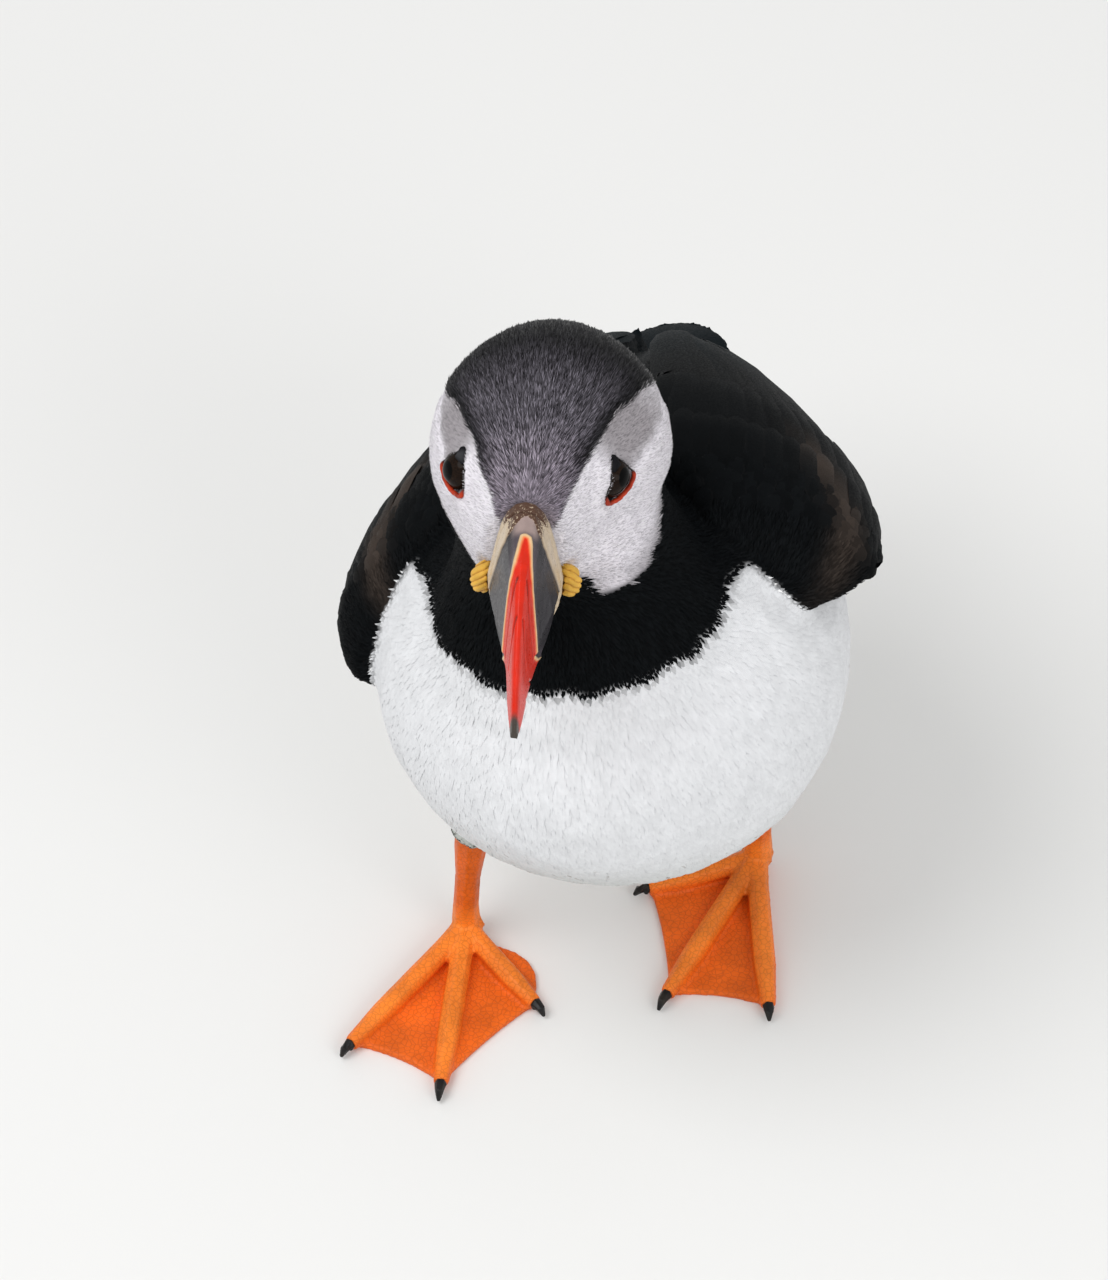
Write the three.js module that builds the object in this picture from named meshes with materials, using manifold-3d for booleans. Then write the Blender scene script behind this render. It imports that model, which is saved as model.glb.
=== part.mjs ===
// A life-size standing Atlantic puffin as a group of closed solids.
// Millimetres, +Z up. The bird faces -Y, so its left side is +X.
// It leans a little to its right and stands in mid-step, right foot ahead.
import * as THREE from "three";
import { LoftGeometry } from "three/addons/geometries/LoftGeometry.js";
import { mergeVertices } from "three/addons/utils/BufferGeometryUtils.js";
import Module from "manifold-3d";

const wasm = await Module();
wasm.setup();

// ---------- driving dimensions ----------
const FLOOR = 0;
const GAP = 0.35; // clear space kept between neighbouring solids
const GUARD = 400; // a box this big covers everything on one side of a cut

const BODY_HEIGHT = 100.5; // trunk centre above the floor
const BODY_PITCH = 10; // degrees that the breast is raised above the tail
const BODY_LEAN = 8; // degrees that the whole upper body leans to its right
const BODY_TURN = 4; // degrees that the trunk is turned to its left of the legs' heading

const HEAD_AHEAD = 18.5; // head centre ahead of the trunk centre
const HEAD_HEIGHT = 176;
const HEAD_ASIDE = -5;
const HEAD_PITCH = 3;
const HEAD_TURN = 3;
const HEAD_TILT = -8;
const NAPE_ASIDE = 2.9; // the back of the head lies to the left of the bill's line

const BILL_BASE = 27.6; // bill base ahead of the head centre
const BILL_LENGTH = 42;
const BILL_ASIDE = -0.6; // the face draws over to its right towards the bill
const EYE_RADIUS = 4.7;
const EYE_AHEAD = 10;
const EYE_UP = 6.5;
const EYE_ASIDE = 14.9;

const TAIL_LENGTH = 31;
const TAIL_HALF_WIDTH = 15.5;
const TARSUS = 27;
const LEG_SPREAD = { left: 30, right: 32 }; // each ankle from the middle
const STRIDE = 31; // right ankle ahead of the left one
const FEET_MIDDLE = -3; // midpoint of the ankles ahead of the trunk centre
const WEB_THICKNESS = 1.5;

const COLOURS = {
  black: 0x1a1b20,
  white: 0xe9eaec,
  orange: 0xf2701c,
  claw: 0x1c1a1c,
  red: 0xe83418,
  slate: 0x4d4b57,
  cream: 0xd9cf9f,
  yellow: 0xe8a82e,
  eye: 0x2a1d14,
};
const ROUGHNESS = { horn: 0.35, plumage: 0.8, skin: 0.5, eye: 0.05 };

// How many flats each round form has about its axis.
const FLATS = {
  trunk: 28,
  neck: 22,
  head: 24,
  bill: 12,
  wing: 9,
  tail: 16,
  thigh: 12,
  leg: 8,
  toe: 7,
  claw: 6,
};

// ---------- small helpers ----------
const radians = THREE.MathUtils.degToRad;
const clamp = THREE.MathUtils.clamp;
const smoothstep = THREE.MathUtils.smoothstep;

const sign = { left: 1, right: -1 };

// A point from how far it is to the bird's left, ahead and up.
const at = (side, ahead, up) => new THREE.Vector3(side, -ahead, up);

// Smooth values along a length: each station is [place, value, value, ...].
function profile(stations) {
  const size = stations[0].length - 1;
  const places = stations.map((station) => station[0]);
  const values = stations.flatMap((station) => station.slice(1));
  const curve = new THREE.CubicInterpolant(places, values, size);
  return (place) => {
    const inside = clamp(place, places[0], places[places.length - 1]);
    return Array.from(curve.evaluate(inside)).slice(0, size);
  };
}

function steps(from, to, count) {
  return Array.from({ length: count + 1 }, (_, i) => from + ((to - from) * i) / count);
}

// Stations that crowd towards both ends, where a closed form curves most.
function roundedSteps(from, to, count) {
  return steps(0, Math.PI, count).map((turn) => from + ((to - from) * (1 - Math.cos(turn))) / 2);
}

function solidOf(geometry) {
  const bare = new THREE.BufferGeometry();
  bare.setAttribute("position", geometry.getAttribute("position").clone());
  bare.setIndex(geometry.index);
  const merged = mergeVertices(bare, 1e-4);
  const solid = new wasm.Manifold(
    new wasm.Mesh({
      numProp: 3,
      vertProperties: new Float32Array(merged.attributes.position.array),
      triVerts: new Uint32Array(merged.index.array),
    }),
  );
  if (solid.volume() <= 0) throw new Error("a loft is inside out");
  return solid;
}

function geometryOf(solid) {
  const { numProp, vertProperties, triVerts } = solid.getMesh();
  const places = new Float32Array((vertProperties.length / numProp) * 3);
  for (let i = 0; i < places.length / 3; i++) {
    places.set(vertProperties.subarray(i * numProp, i * numProp + 3), i * 3);
  }
  const geometry = new THREE.BufferGeometry();
  geometry.setAttribute("position", new THREE.BufferAttribute(places, 3));
  geometry.setIndex(new THREE.BufferAttribute(triVerts, 1));
  geometry.computeVertexNormals();
  return geometry;
}

// A closed loft through rings of points; the rings run the right way round whichever way it goes.
function loft(rings) {
  const first = rings[0];
  const middle = (ring) =>
    ring.reduce((sum, p) => sum.add(p), new THREE.Vector3()).divideScalar(ring.length);
  const along = middle(rings[1]).sub(middle(first));
  const area = new THREE.Vector3();
  first.forEach((p, i) => area.add(p.clone().cross(first[(i + 1) % first.length])));
  const ordered = area.dot(along) > 0 ? rings : rings.map((ring) => [...ring].reverse());
  return solidOf(new LoftGeometry(ordered, { capStart: true, capEnd: true }));
}

// An oval ring with its own height above and below its centre.
// A sharpness over 1 pinches that half towards its top or bottom, and one under 1 fills it out.
function oval(centre, sideways, upwards, size, count) {
  const { halfWidth, top, bottom = top, topSharpness = 1, bottomSharpness = 1 } = size;
  return Array.from({ length: count }, (_, i) => {
    const turn = (2 * Math.PI * i) / count;
    const over = Math.sin(turn) > 0;
    const [height, sharpness] = over ? [top, topSharpness] : [bottom, bottomSharpness];
    const out = Math.sign(Math.cos(turn)) * Math.abs(Math.cos(turn)) ** sharpness;
    return centre
      .clone()
      .addScaledVector(sideways, halfWidth * out)
      .addScaledVector(upwards, height * Math.sin(turn));
  });
}

// A round limb along a curve through given points, with a half width and half depth at each place.
function limb({ points, sizes, flats, stepsAlong, grow = 0 }) {
  const curve = new THREE.CatmullRomCurve3(points);
  const size = profile(sizes);
  const rings = roundedSteps(0, 1, stepsAlong).map((place) => {
    const direction = curve.getTangentAt(place);
    const sideways = new THREE.Vector3(1, 0, 0)
      .addScaledVector(direction, -direction.x)
      .normalize();
    const upwards = new THREE.Vector3().crossVectors(direction, sideways).normalize();
    const [halfWidth, halfDepth] = size(place).map((half) => half + grow);
    return oval(curve.getPointAt(place), sideways, upwards, { halfWidth, top: halfDepth }, flats);
  });
  return loft(rings);
}

const moved = (rings, matrix) => rings.map((ring) => ring.map((p) => p.clone().applyMatrix4(matrix)));

// Everything on the far side of a plane, as a solid to intersect with.
function beyond(place, normal) {
  const box = new THREE.BoxGeometry(GUARD, GUARD, GUARD);
  const turned = new THREE.Quaternion().setFromUnitVectors(new THREE.Vector3(0, 0, 1), normal);
  box.translate(0, 0, GUARD / 2 + GAP / 2).applyQuaternion(turned).translate(...place.toArray());
  return solidOf(box);
}

// ---------- frames ----------
// The trunk frame: its axis runs from the tail to the breast, pitched up and leaning to the right.
const bodyFrame = new THREE.Matrix4()
  .makeTranslation(0, 0, BODY_HEIGHT)
  .multiply(new THREE.Matrix4().makeRotationY(radians(-BODY_LEAN)))
  .multiply(new THREE.Matrix4().makeRotationZ(radians(BODY_TURN)))
  .multiply(new THREE.Matrix4().makeTranslation(0, 0, -BODY_HEIGHT));
const forwards = at(0, Math.cos(radians(BODY_PITCH)), Math.sin(radians(BODY_PITCH)));
const upwards = at(0, -Math.sin(radians(BODY_PITCH)), Math.cos(radians(BODY_PITCH)));
const leftwards = new THREE.Vector3(1, 0, 0);
const trunkCentre = at(0, 0, BODY_HEIGHT);

const headFrame = bodyFrame
  .clone()
  .multiply(new THREE.Matrix4().makeTranslation(...at(HEAD_ASIDE, HEAD_AHEAD, HEAD_HEIGHT).toArray()))
  .multiply(
    new THREE.Matrix4().makeRotationFromEuler(
      new THREE.Euler(radians(-HEAD_PITCH), radians(-HEAD_TILT), radians(HEAD_TURN), "ZYX"),
    ),
  );

// ---------- trunk ----------
// Place along the axis, then half width, height above the axis and depth below it.
const trunkSizes = profile([
  [-88, 9, 12, 5],
  [-72, 22, 22, 13],
  [-52, 34, 33, 27],
  [-28, 45, 43, 42],
  [-2, 52, 47, 50],
  [20, 51, 46, 49],
  [37, 44, 40, 42],
  [50, 32, 29, 28],
  [58, 19, 18, 17],
  [62, 5, 5, 5],
]);

const TRUNK_REAR = -88;
const TRUNK_FRONT = 62;

function trunkPoint(place, turn, grow) {
  const [halfWidth, top, bottom] = trunkSizes(place);
  const height = Math.sin(turn) > 0 ? top : bottom;
  return trunkCentre
    .clone()
    .addScaledVector(forwards, place)
    .addScaledVector(leftwards, (halfWidth + grow) * Math.cos(turn))
    .addScaledVector(upwards, (height + grow) * Math.sin(turn));
}

function trunkWhole(grow) {
  const rings = roundedSteps(TRUNK_REAR, TRUNK_FRONT, 16).map((place) =>
    steps(0, 2 * Math.PI, FLATS.trunk)
      .slice(1)
      .map((turn) => trunkPoint(place, turn, grow)),
  );
  return loft(moved(rings, bodyFrame));
}

// ---------- neck and head ----------
function neckWhole(grow) {
  const path = new THREE.CatmullRomCurve3([
    at(0, 12, 104),
    at(-0.5, 20, 130),
    at(-1.5, 18.5, 152),
    at(HEAD_ASIDE + 1, 15, 172),
  ]);
  const sizes = profile([
    [0, 41, 42],
    [0.38, 36, 36],
    [0.7, 25, 26],
    [1, 21, 20],
  ]);
  const rings = steps(0, 1, 12).map((place) => {
    const direction = path.getTangentAt(place);
    const back = new THREE.Vector3().crossVectors(leftwards, direction).normalize();
    const [halfWidth, halfDepth] = sizes(place).map((half) => half + grow);
    return oval(path.getPointAt(place), leftwards, back, { halfWidth, top: halfDepth }, FLATS.neck);
  });
  return loft(moved(rings, bodyFrame));
}

// Place ahead of the head centre, then half width, height above, depth below,
// and the sharpness of the crown and of the cheeks.
const headSizes = profile([
  [-30, 3, 4, 4, 1, 1],
  [-26.5, 13, 14.5, 13, 1, 1],
  [-18, 21.5, 22.5, 21, 1, 1],
  [-8, 25.5, 26.6, 24, 1.05, 0.95],
  [0, 24.9, 26.8, 24.5, 1.2, 0.8],
  [9, 20, 25, 23.5, 1.4, 0.75],
  [16, 15.4, 22, 21.8, 1.4, 0.8],
  [22, 11.6, 18.2, 20.2, 1.3, 0.9],
  [27, 8.2, 14.8, 18.4, 1.2, 1],
]);
const HEAD_REAR = -30;
const HEAD_FRONT = 27;

const headUp = new THREE.Vector3(0, 0, 1);
function headAside(place) {
  return NAPE_ASIDE * smoothstep(-place, -18, 8) + BILL_ASIDE * smoothstep(place, 4, HEAD_FRONT);
}

function headWhole() {
  const rings = roundedSteps(HEAD_REAR, HEAD_FRONT, 15).map((place) => {
    const [halfWidth, top, bottom, topSharpness, bottomSharpness] = headSizes(place);
    const size = { halfWidth, top, bottom, topSharpness, bottomSharpness };
    return oval(at(headAside(place), place, 0), leftwards, headUp, size, FLATS.head);
  });
  return loft(moved(rings, headFrame));
}

function eyeWhole(side, grow) {
  const place = at(side * EYE_ASIDE + headAside(EYE_AHEAD), EYE_AHEAD, EYE_UP);
  const ball = solidOf(new THREE.SphereGeometry(EYE_RADIUS + grow, 12, 8));
  return ball.translate(place.toArray()).transform(headFrame.toArray());
}

// ---------- bill ----------
// Place along the bill, then the heights of the ridge, the gape line and the chin line.
const RIM_DEPTH = 3; // of the fleshy band round the bill's base
const FLANK_SLOPE = 0.48; // share of its width that the upper half loses towards the ridge
const RIDGE_BLUNTNESS = 8;
const LOWER_SHARPNESS = 0.9;
const LOWER_SHORTER = 2.5; // the upper tip hangs over the lower one
const LOWER_NARROWER = 0.92;
const billHeights = profile([
  [0, 15.4, -4.5, -19.4],
  [8, 15.3, -5, -19.8],
  [17, 13.2, -5.6, -19],
  [26, 9, -6.4, -17.2],
  [34, 3.2, -7.6, -14.6],
  [39, -2, -9, -12],
  [42, -7.4, -10, -10.8],
]);
const billHalfWidth = profile([
  [0, 7.3],
  [8, 6.9],
  [13, 5.6],
  [17, 4.4],
  [26, 2.6],
  [35, 1.8],
  [42, 0.75],
]);

// Share of the half width at a height from the gape, 0, to the ridge or the chin, 1.
const upperOutline = (height) => (1 - FLANK_SLOPE * height) * Math.sqrt(1 - height ** RIDGE_BLUNTNESS);
const lowerOutline = (height) => Math.sqrt(1 - height ** 2) ** LOWER_SHARPNESS;

// Half of the bill as a ring: flat along the gape, rounded to its ridge or chin.
function billRing(place, edge, ridge, halfWidth, outline) {
  return steps(0, Math.PI, FLATS.bill).map((turn) => {
    const height = Math.min(1, Math.sin(turn));
    const out = Math.sign(Math.cos(turn)) * outline(height);
    return at(BILL_ASIDE + halfWidth * out, BILL_BASE + place, edge + (ridge - edge) * height);
  });
}

function billHalf(upper) {
  const end = upper ? BILL_LENGTH : BILL_LENGTH - LOWER_SHORTER;
  const rings = steps(RIM_DEPTH + GAP, end, 10).map((place) => {
    const [ridge, gape, chin] = billHeights(place);
    const [halfWidth] = billHalfWidth(place);
    return upper
      ? billRing(place, gape, ridge, halfWidth, upperOutline)
      : billRing(place, gape - GAP, chin, halfWidth * LOWER_NARROWER, lowerOutline);
  });
  return loft(moved(rings, headFrame));
}

// The raised fleshy band between the feathers and the horn.
function billRim(swell) {
  const swelling = [0, 0.5, 0.5, 0].map((out) => out + swell);
  const rings = [0, 0.6, RIM_DEPTH - 0.6, RIM_DEPTH].map((place, i) => {
    const [ridge, gape, chin] = billHeights(place);
    const halfWidth = billHalfWidth(place)[0] + swelling[i];
    const over = billRing(place, gape, ridge + swelling[i], halfWidth, upperOutline);
    const under = billRing(place, gape, chin - swelling[i], halfWidth, lowerOutline);
    return [...over, ...under.reverse().slice(1, -1)];
  });
  return loft(moved(rings, headFrame));
}

// The soft wrinkled rosette at each corner of the mouth.
const ROSETTE = { size: [2.6, 3.3, 3.7], aside: 8.6, ahead: 26.6, down: 7.6, turn: 28 };

function rosetteWhole(side, grow) {
  const { size, aside, ahead, down, turn } = ROSETTE;
  const disc = solidOf(new THREE.SphereGeometry(1, 10, 6)).scale(size.map((half) => half + grow));
  const place = at(side * aside + BILL_ASIDE, ahead, -down);
  return disc.rotate([0, 0, side * turn]).translate(place.toArray()).transform(headFrame.toArray());
}

// ---------- wings ----------
// Place along the trunk axis, then the lower and upper edge as degrees round the trunk,
// the thickness at the lower edge, and how far the whole wing stands off the body.
const wingSizes = profile([
  [-91, 64, 76, 1.6, 3],
  [-74, 38, 76, 2.4, 3],
  [-50, 12, 74, 3.6, 2],
  [-22, -1, 72, 5.2, 1],
  [0, 0, 66, 7, 0.6],
  [10, 2, 48, 7, 0.5],
  [16, 4, 38, 5, 0.4],
  [20, 8, 22, 2.5, 0.3],
]);
const WING_FRONT = 20;
const WING_REAR = -91;
const WING_CUT = -50; // where the primaries part from the coverts
const WING_RAISE = { left: 20, right: -4 }; // degrees that each wing's front is shifted up
const WING_SPREAD = { left: 8.2, right: 1.8 }; // how far each wing's lower edge is held out
const WING_THINNEST = 0.7;
const WING_TAPER = 0.75; // share of its thickness that the wing loses towards its upper edge
const WING_HOLLOW = 0.6; // share of the spread that is left open under the wing
const WING_CLOSING = 0.8; // share of the spread that is lost at the very front

function wingWhole(name) {
  const across = FLATS.wing;
  const side = sign[name];
  const rings = roundedSteps(WING_FRONT, WING_REAR, 14).map((place) => {
    const [low, high, thickness, standOff] = wingSizes(place);
    const forward = smoothstep(place, WING_REAR, 0);
    const raise = WING_RAISE[name] * forward;
    const shoulder = 0.4 + 0.6 * smoothstep(place, 0, WING_FRONT);
    const turns = steps(low + raise, high + raise * shoulder, across);
    const closing = 1 - WING_CLOSING * smoothstep(place, WING_FRONT * 0.3, WING_FRONT);
    const spread = (share) => standOff + WING_SPREAD[name] * forward * closing * (1 - share);
    const outer = turns.map((turn, i) => {
      const share = i / across;
      const round = Math.sqrt(Math.sin(Math.PI * clamp(share, 0.02, 0.98)));
      const depth = WING_THINNEST + thickness * round * (1 - WING_TAPER * share);
      return trunkPoint(place, radians(turn), GAP + spread(share) + depth);
    });
    const inner = turns.map((turn, i) =>
      trunkPoint(place, radians(turn), GAP + spread(i / across) * WING_HOLLOW),
    );
    return [...outer, ...inner.reverse()].map((p) => new THREE.Vector3(side * p.x, p.y, p.z));
  });
  return loft(moved(rings, bodyFrame)).subtract(neckWhole(GAP));
}

// ---------- tail ----------
function tailWhole() {
  const sizes = profile([
    [0, 12, 4.2],
    [10, 14.5, 3.2],
    [20, TAIL_HALF_WIDTH, 2],
    [TAIL_LENGTH - 4, TAIL_HALF_WIDTH - 1.5, 1.2],
    [TAIL_LENGTH - 1, TAIL_HALF_WIDTH - 5, 0.8],
    [TAIL_LENGTH, TAIL_HALF_WIDTH - 8, 0.6],
  ]);
  const start = TRUNK_REAR - GAP;
  const rings = steps(0, TAIL_LENGTH, 9).map((place) => {
    const [halfWidth, halfDepth] = sizes(place);
    const centre = trunkCentre
      .clone()
      .addScaledVector(forwards, start - place)
      .addScaledVector(upwards, 1 - 0.006 * place * place);
    return oval(centre, leftwards, upwards, { halfWidth, top: halfDepth }, FLATS.tail);
  });
  return loft(moved(rings, bodyFrame));
}

// ---------- legs and feet ----------
const ankles = {
  left: at(LEG_SPREAD.left, FEET_MIDDLE - STRIDE / 2, 0),
  right: at(-LEG_SPREAD.right, FEET_MIDDLE + STRIDE / 2, 0),
};
const HEADINGS = { left: -19, right: 3 }; // degrees to the bird's left of straight ahead

function footFrame(name) {
  return new THREE.Matrix4()
    .makeTranslation(...ankles[name].toArray())
    .multiply(new THREE.Matrix4().makeRotationZ(radians(HEADINGS[name])));
}

const LEG_TOP = TARSUS + 12;

function legWhole(name, grow) {
  const inwards = -sign[name];
  return limb({
    points: [
      at(0, -1.5, 3),
      at(0, -1, 11),
      at(inwards * 0.6, -2.5, 24),
      at(inwards * 1.6, -3.5, LEG_TOP),
    ],
    sizes: [
      [0, 3.4, 3.6],
      [0.25, 2.8, 3.4],
      [0.6, 2.9, 3.5],
      [0.85, 3.9, 4.6],
      [1, 3.7, 4.4],
    ],
    flats: FLATS.leg,
    stepsAlong: 6,
    grow,
  }).transform(footFrame(name).toArray());
}

// The feathered shank, from just over the top of the bare leg up into the belly.
function thighWhole(name) {
  const side = sign[name];
  const knee = ankles[name];
  return limb({
    points: [
      at(knee.x - side * 1.4, -knee.y - 3.5, LEG_TOP - 3),
      at(knee.x - side * 2, -knee.y - 2, LEG_TOP + 8),
      at(side * 26, -knee.y * 0.8, LEG_TOP + 26),
    ],
    sizes: [
      [0, 4.4, 5],
      [0.3, 6, 7],
      [1, 12, 17],
    ],
    flats: FLATS.thigh,
    stepsAlong: 5,
  });
}

// Toes: degrees from the middle toe, length to the claw's root, claw length.
const TOES = {
  outer: { spread: 32, length: 40.5, claw: 3.6 },
  middle: { spread: 0, length: 42.5, claw: 4.4 },
  inner: { spread: -45, length: 25.5, claw: 3.6 },
};

// A toe's direction on the floor; the outer toe is on the bird's outer side.
function toeDirection(name, toe) {
  const turn = radians(sign[name] * TOES[toe].spread);
  return new THREE.Vector3(Math.sin(turn), -Math.cos(turn), 0);
}

function toePath(name, toe) {
  const direction = toeDirection(name, toe);
  const along = (share, up) =>
    direction.clone().multiplyScalar(share * TOES[toe].length).setZ(up);
  return [along(-0.08, 4.4), along(0.3, 3.4), along(0.55, 3), along(0.8, 2.4), along(1, 2.2)];
}

function toeWhole(name, toe, grow) {
  return limb({
    points: toePath(name, toe),
    sizes: [
      [0, 3, 3],
      [0.3, 2.5, 2.7],
      [0.36, 2.8, 3],
      [0.62, 2.2, 2.5],
      [0.68, 2.5, 2.7],
      [1, 1.7, 1.9],
    ],
    flats: FLATS.toe,
    stepsAlong: 6,
    grow,
  });
}

// A thin plate with the given outline, lying on the floor.
function plateOf(outline, grow) {
  const depth = WEB_THICKNESS + grow;
  return solidOf(new THREE.ExtrudeGeometry(outline, { depth, bevelEnabled: false, curveSegments: 6 }));
}

// The web between the toes, scalloped at its front edge.
function webWhole(name, grow) {
  const tips = Object.keys(TOES).map((toe) =>
    toeDirection(name, toe).multiplyScalar(TOES[toe].length * 0.97),
  );
  const outline = new THREE.Shape();
  const heel = toeDirection(name, "middle").multiplyScalar(-3);
  outline.moveTo(heel.x, heel.y);
  outline.lineTo(tips[0].x, tips[0].y);
  for (let i = 0; i < 2; i++) {
    const hollow = tips[i].clone().add(tips[i + 1]).multiplyScalar(0.5 * 0.93);
    outline.quadraticCurveTo(hollow.x, hollow.y, tips[i + 1].x, tips[i + 1].y);
  }
  return plateOf(outline, grow);
}

const LOBE_WIDTH = 13;

// A flap of skin along the inner toe's own inner edge.
function innerLobe(name, grow) {
  const direction = toeDirection(name, "inner");
  const across = new THREE.Vector3(-direction.y, direction.x, 0);
  if (Math.sign(across.x) === sign[name]) across.negate();
  const length = TOES.inner.length;
  const corner = (along, out) =>
    direction.clone().multiplyScalar(along * length).addScaledVector(across, out);
  const [start, bulge, end] = [corner(0.1, 0), corner(0.62, LOBE_WIDTH), corner(0.96, 0)];
  const outline = new THREE.Shape();
  outline.moveTo(start.x, start.y);
  outline.quadraticCurveTo(bulge.x, bulge.y, end.x, end.y);
  return plateOf(outline, grow);
}

function clawWhole(name, toe) {
  const direction = toeDirection(name, toe);
  const { length, claw } = TOES[toe];
  const along = (out, up) => direction.clone().multiplyScalar(length + out).setZ(up);
  return limb({
    points: [along(GAP, 2.4), along(claw * 0.5, 2.9), along(claw, 1)],
    sizes: [
      [0, 1.5, 1.6],
      [0.5, 1.1, 1.2],
      [1, 0.4, 0.4],
    ],
    flats: FLATS.claw,
    stepsAlong: 4,
  }).transform(footFrame(name).toArray());
}

function footWhole(name, grow) {
  let foot = webWhole(name, grow).add(innerLobe(name, grow));
  for (const toe of Object.keys(TOES)) foot = foot.add(toeWhole(name, toe, grow));
  const floor = beyond(at(0, 0, FLOOR - GAP / 2), new THREE.Vector3(0, 0, 1));
  return foot.transform(footFrame(name).toArray()).intersect(floor);
}

// ---------- parting the flesh ----------
const HEAD_CUT = { place: at(HEAD_ASIDE, 18, 159), normal: at(0, 0.12, 0.993).normalize() };
const NECK_CUT = { place: at(0, 22, 141), normal: at(0, 0.06, 0.998).normalize() };
const MANTLE_CUT = { place: at(0, 12, 133), normal: at(0, -0.42, 0.908).normalize() };

function cutPlane({ place, normal }) {
  return {
    place: place.clone().applyMatrix4(bodyFrame),
    normal: normal.clone().transformDirection(bodyFrame),
  };
}

const above = (cut) => beyond(cut.place, cut.normal);
const below = (cut) => beyond(cut.place, cut.normal.clone().negate());

function largest(solid) {
  return solid.decompose().sort((a, b) => b.volume() - a.volume())[0];
}

// ---------- assembly ----------
const bird = new THREE.Group();

function add(name, solid, colour, roughness) {
  const material = new THREE.MeshStandardMaterial({ color: colour, roughness, metalness: 0 });
  const mesh = new THREE.Mesh(geometryOf(solid), material);
  mesh.name = name;
  bird.add(mesh);
}

const { black, white, orange } = COLOURS;
const { plumage, skin, horn } = ROUGHNESS;
const headCut = cutPlane(HEAD_CUT);
const neckCut = cutPlane(NECK_CUT);
const mantleCut = cutPlane(MANTLE_CUT);
const wingCut = cutPlane({
  place: trunkCentre.clone().addScaledVector(forwards, WING_CUT),
  normal: forwards,
});

const flesh = trunkWhole(0).add(neckWhole(0)).add(headWhole());
const body = largest(flesh.intersect(below(neckCut)));
let head = flesh.intersect(above(headCut));
for (const side of Object.values(sign)) {
  head = head.subtract(eyeWhole(side, GAP)).subtract(rosetteWhole(side, GAP));
}

add("head", largest(head), white, plumage);
add("neck", largest(flesh.intersect(above(neckCut)).intersect(below(headCut))), black, plumage);
add("trunk", largest(body.intersect(below(mantleCut))), white, plumage);
add("mantle", largest(body.intersect(above(mantleCut))), black, plumage);
add("tail", tailWhole(), black, plumage);
add("bill_rim", billRim(0), COLOURS.cream, skin);
add("bill_upper", billHalf(true), COLOURS.red, horn);
add("bill_lower", billHalf(false), COLOURS.slate, horn);

for (const [name, side] of Object.entries(sign)) {
  const wing = wingWhole(name);
  const bodyCleared = trunkWhole(GAP);
  const footCleared = footWhole(name, GAP);
  add(`eye_${name}`, eyeWhole(side, 0), COLOURS.eye, ROUGHNESS.eye);
  add(`rosette_${name}`, largest(rosetteWhole(side, 0).subtract(billRim(GAP))), COLOURS.yellow, skin);
  add(`wing_${name}`, largest(wing.intersect(above(wingCut))), black, plumage);
  add(`wing_tip_${name}`, largest(wing.intersect(below(wingCut))), black, plumage);

  const thigh = thighWhole(name).subtract(bodyCleared).subtract(legWhole(name, GAP));
  add(`thigh_${name}`, largest(thigh), white, plumage);
  add(`leg_${name}`, largest(legWhole(name, 0).subtract(footCleared)), orange, skin);
  add(`foot_${name}`, footWhole(name, 0), orange, skin);
  for (const toe of Object.keys(TOES)) {
    const claw = clawWhole(name, toe).subtract(footCleared);
    add(`claw_${name}_${toe}`, largest(claw), COLOURS.claw, horn);
  }
}

// The origin is on the floor, at the middle of the bird's outline box.
const box = new THREE.Box3().setFromObject(bird);
const middle = box.getCenter(new THREE.Vector3());
bird.position.set(-middle.x, -middle.y, -box.min.z);

export default bird;
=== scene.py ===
# A life-size Atlantic puffin: skin, plumage, bill, eyes, legs and feet around its solid frame.
import math

import bpy
import numpy as np
from mathutils import Matrix, Vector
from mathutils.bvhtree import BVHTree


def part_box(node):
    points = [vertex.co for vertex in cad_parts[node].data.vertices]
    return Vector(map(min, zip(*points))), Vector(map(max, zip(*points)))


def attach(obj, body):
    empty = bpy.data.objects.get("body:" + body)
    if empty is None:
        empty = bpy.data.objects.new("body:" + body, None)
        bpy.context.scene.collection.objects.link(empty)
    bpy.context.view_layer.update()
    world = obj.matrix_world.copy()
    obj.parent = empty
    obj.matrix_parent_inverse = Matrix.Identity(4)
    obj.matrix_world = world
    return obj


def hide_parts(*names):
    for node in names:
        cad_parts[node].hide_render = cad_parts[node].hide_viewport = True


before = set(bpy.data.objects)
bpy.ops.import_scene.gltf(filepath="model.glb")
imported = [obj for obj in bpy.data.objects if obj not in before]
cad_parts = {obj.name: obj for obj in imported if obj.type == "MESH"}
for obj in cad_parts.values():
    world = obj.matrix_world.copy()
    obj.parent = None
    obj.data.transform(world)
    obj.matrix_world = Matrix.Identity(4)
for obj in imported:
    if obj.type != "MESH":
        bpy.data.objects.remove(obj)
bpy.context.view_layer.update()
mm = 0.001
random = np.random.default_rng(7)

# How the bird stands. Places are metres from the floor point under the trunk's middle.
pose = {
    "floorPoint": (0.00175, -0.01418, 0),
    "trunkHeight": 0.1005,
    "lean": -8,
    "turn": 4,
    "pitch": -10,
    "headPlace": (-0.005, -0.0185, 0.176),
    "headTurns": (-3, 8, 3),
}


def turned(axis, degrees):
    return Matrix.Rotation(math.radians(degrees), 4, axis)


lift = Matrix.Translation((0, 0, pose["trunkHeight"]))
bodyMatrix = Matrix.Translation(pose["floorPoint"]) @ lift @ turned("Y", pose["lean"])
bodyMatrix = bodyMatrix @ turned("Z", pose["turn"]) @ lift.inverted()
trunkMatrix = bodyMatrix @ lift @ turned("X", pose["pitch"])
headMatrix = bodyMatrix @ Matrix.Translation(pose["headPlace"])
for axis, degrees in zip("ZYX", reversed(pose["headTurns"])):
    headMatrix = headMatrix @ turned(axis, degrees)


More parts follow.
